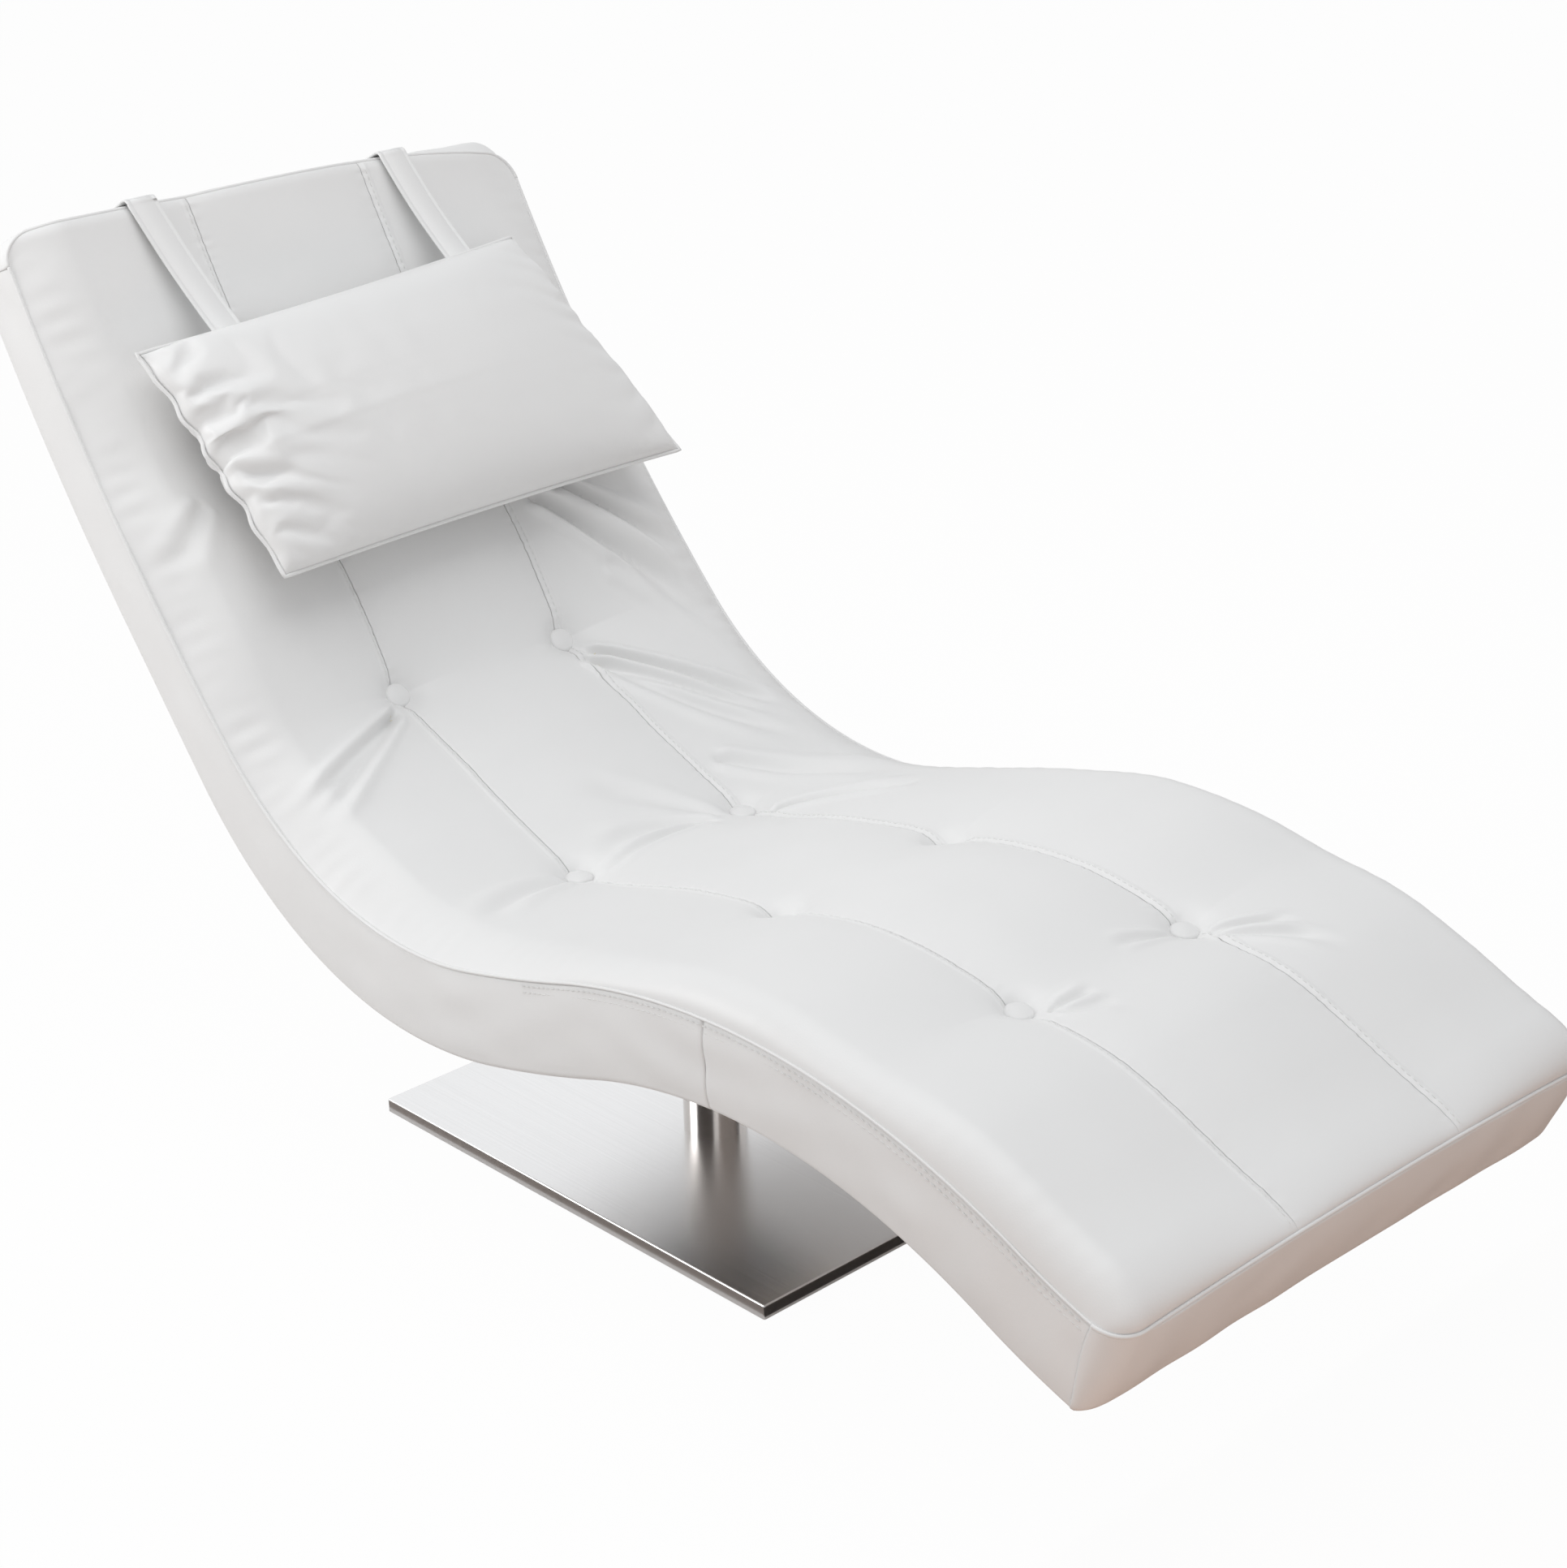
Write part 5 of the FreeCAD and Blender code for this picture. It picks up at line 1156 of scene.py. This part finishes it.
# The rows keep an even distance from the channel and from the side seam
def makeStitches():
    t = stitching
    s = np.linspace(t["channelEnd"], seamLength - t["channelEnd"], t["channelSteps"])
    leg = np.linspace(t["legStart"], seamLength - t["legEnd"], t["legSteps"])
    for side, word in ((1, "Left"), (-1, "Right")):
        y = np.full(s.shape, side * (channelY + t["beside"]))
        n = topHeight(s, y)
        path = bodyPoint(s, y, n)
        addStitches("channelStitches" + word, path, bodyPoint(s, y, n + 1.0) - path, t["channelLift"])
        for line, drop in enumerate(t["legDrops"]):
            path = bodyPoint(leg, np.full(leg.shape, side * (halfWidth + t["legOut"])), 0 * leg - drop)
            outward = np.broadcast_to(acrossBody * side, path.shape)
            addStitches("legStitches" + word + str(line + 1), path, outward, t["legLift"])


makeStitches()
print("stitches made")

# Studio: a pale floor, a white surround for what the camera and the metal see, soft lamps, and cards
studio = {
    "worldLight": 0.465, "worldColour": (0.97, 0.98, 1.0, 1.0), "backdropWhite": 1.0, "white": (1, 1, 1, 1),
    "floorSize": 16.0, "floorDrop": 0.0002, "floorColour": (0.80, 0.765, 0.74), "floorShade": 0.99,
    "floorRough": 0.8, "floorGrain": 3.0, "floorWhite": 0.97,
    "lamps": {
        "overhead": {"place": (0.3, -0.3, 3.4), "aim": (0.2, 0.0, 0.4), "size": 3.0, "watts": 36.0},
        "windowLeft": {"place": (-1.5, -1.9, 1.45), "aim": (-0.5, -0.2, 0.65), "size": 1.3, "watts": 20.0},
        "frontFill": {"place": (2.3, -0.9, 1.25), "aim": (-0.4, 0.0, 0.55), "size": 1.6, "watts": 5.5},
    },
    "cards": {
        "cardRight": {"x": (1.75, 1.75), "y": (-0.9, 2.4), "z": (0.02, 1.60), "finish": "card", "lit": False},
        "cardFront": {"x": (-0.9, 1.7), "y": (-2.5, -1.95), "z": (0.10, 1.90), "finish": "card", "lit": False},
        "cardFloor": {"x": (0.282, 1.75), "y": (-0.6, 1.5), "z": (0.002, 0.002), "finish": "card", "lit": False},
        "cardNear": {"x": (-0.30, 0.281), "y": (-0.9, -0.203), "z": (0.002, 0.002), "finish": "greyCard",
                     "lit": False},
        "cardWarm": {"x": (0.70, 2.60), "y": (-1.3, 1.3), "z": (0.004, 0.004), "finish": "warmCard", "lit": True},
    },
}


# A four-cornered board with one material, for the studio
def addBoard(name, corners, material):
    mesh = gridMesh(name, np.array(corners, float))
    mesh.materials.append(material)
    board = addObject(name, mesh)
    return board


# The camera sees the floor near white, with only a faint shadow; to all other light it is a pale floor
def makeFloor():
    half, low = studio["floorSize"] / 2, -studio["floorDrop"]
    g = Graph(bpy.data.materials.new("paleFloor"))
    colour = studio["floorColour"]
    shade = tuple(c * studio["floorShade"] for c in colour)
    grain = g.noise(g.objectPoint(), studio["floorGrain"])
    plain = g.wire("ShaderNodeBsdfPrincipled", None,
                   {"Base Color": g.mixColour(grain, colour, shade), "Roughness": studio["floorRough"]})
    white = g.wire("ShaderNodeEmission", None, {"Color": studio["white"], "Strength": 1.0})
    seen = g.wire("ShaderNodeLightPath", output="Is Camera Ray")
    g.node("ShaderNodeOutputMaterial", None,
           {0: g.wire("ShaderNodeMixShader", None, {0: seen * studio["floorWhite"], 1: plain, 2: white})})
    addBoard("floor", [[[-half, -half, low], [-half, half, low]], [[half, -half, low], [half, half, low]]], g.owner)


# Cards out of the camera's sight: the metal mirrors the dark ones, and the warm one tints light from the floor
def makeCards():
    for name, card in studio["cards"].items():
        (x0, x1), (y0, y1), (z0, z1) = card["x"], card["y"], card["z"]
        corners = [[[x0, y0, z0], [x0, y0, z1]], [[x1, y1, z0], [x1, y1, z1]]]
        if z0 == z1:
            corners = [[[x0, y0, z0], [x0, y1, z0]], [[x1, y0, z0], [x1, y1, z0]]]
        board = addBoard(name, corners, finishes[card["finish"]])
        board.visible_camera = False
        board.visible_diffuse = card["lit"]
        board.visible_glossy = not card["lit"]
        board.visible_shadow = False


# The camera and mirrored rays meet a white world; all other light comes from a dimmer, slightly cool one
def makeWorld():
    world = bpy.data.worlds.new("studioWorld")
    bpy.context.scene.world = world
    g = Graph(world)
    seen = g.maths("MAXIMUM", g.wire("ShaderNodeLightPath", output="Is Camera Ray"),
                   g.wire("ShaderNodeLightPath", output="Is Glossy Ray"))
    plain = g.wire("ShaderNodeBackground", None, {0: studio["worldColour"], 1: studio["worldLight"]})
    white = g.wire("ShaderNodeBackground", None, {0: studio["white"], 1: studio["backdropWhite"]})
    g.node("ShaderNodeOutputWorld", None, {0: g.wire("ShaderNodeMixShader", None, {0: seen, 1: plain, 2: white})})


# Round area lamps, each turned to its aim with its right level
def makeLamps():
    for name, lamp in studio["lamps"].items():
        data = bpy.data.lights.new(name, "AREA")
        data.shape = "DISK"
        data.size = lamp["size"]
        data.energy = lamp["watts"]
        ahead = unit(np.array(lamp["aim"]) - np.array(lamp["place"]))
        right = unit(np.cross(ahead, [0.0, 0.0, 1.0]))
        aimObject(addObject(name, data), lamp["place"], right, np.cross(right, ahead), ahead)


makeFloor()
makeCards()
makeWorld()
makeLamps()
bpy.context.scene.view_settings.view_transform = "Standard"
print("studio made")
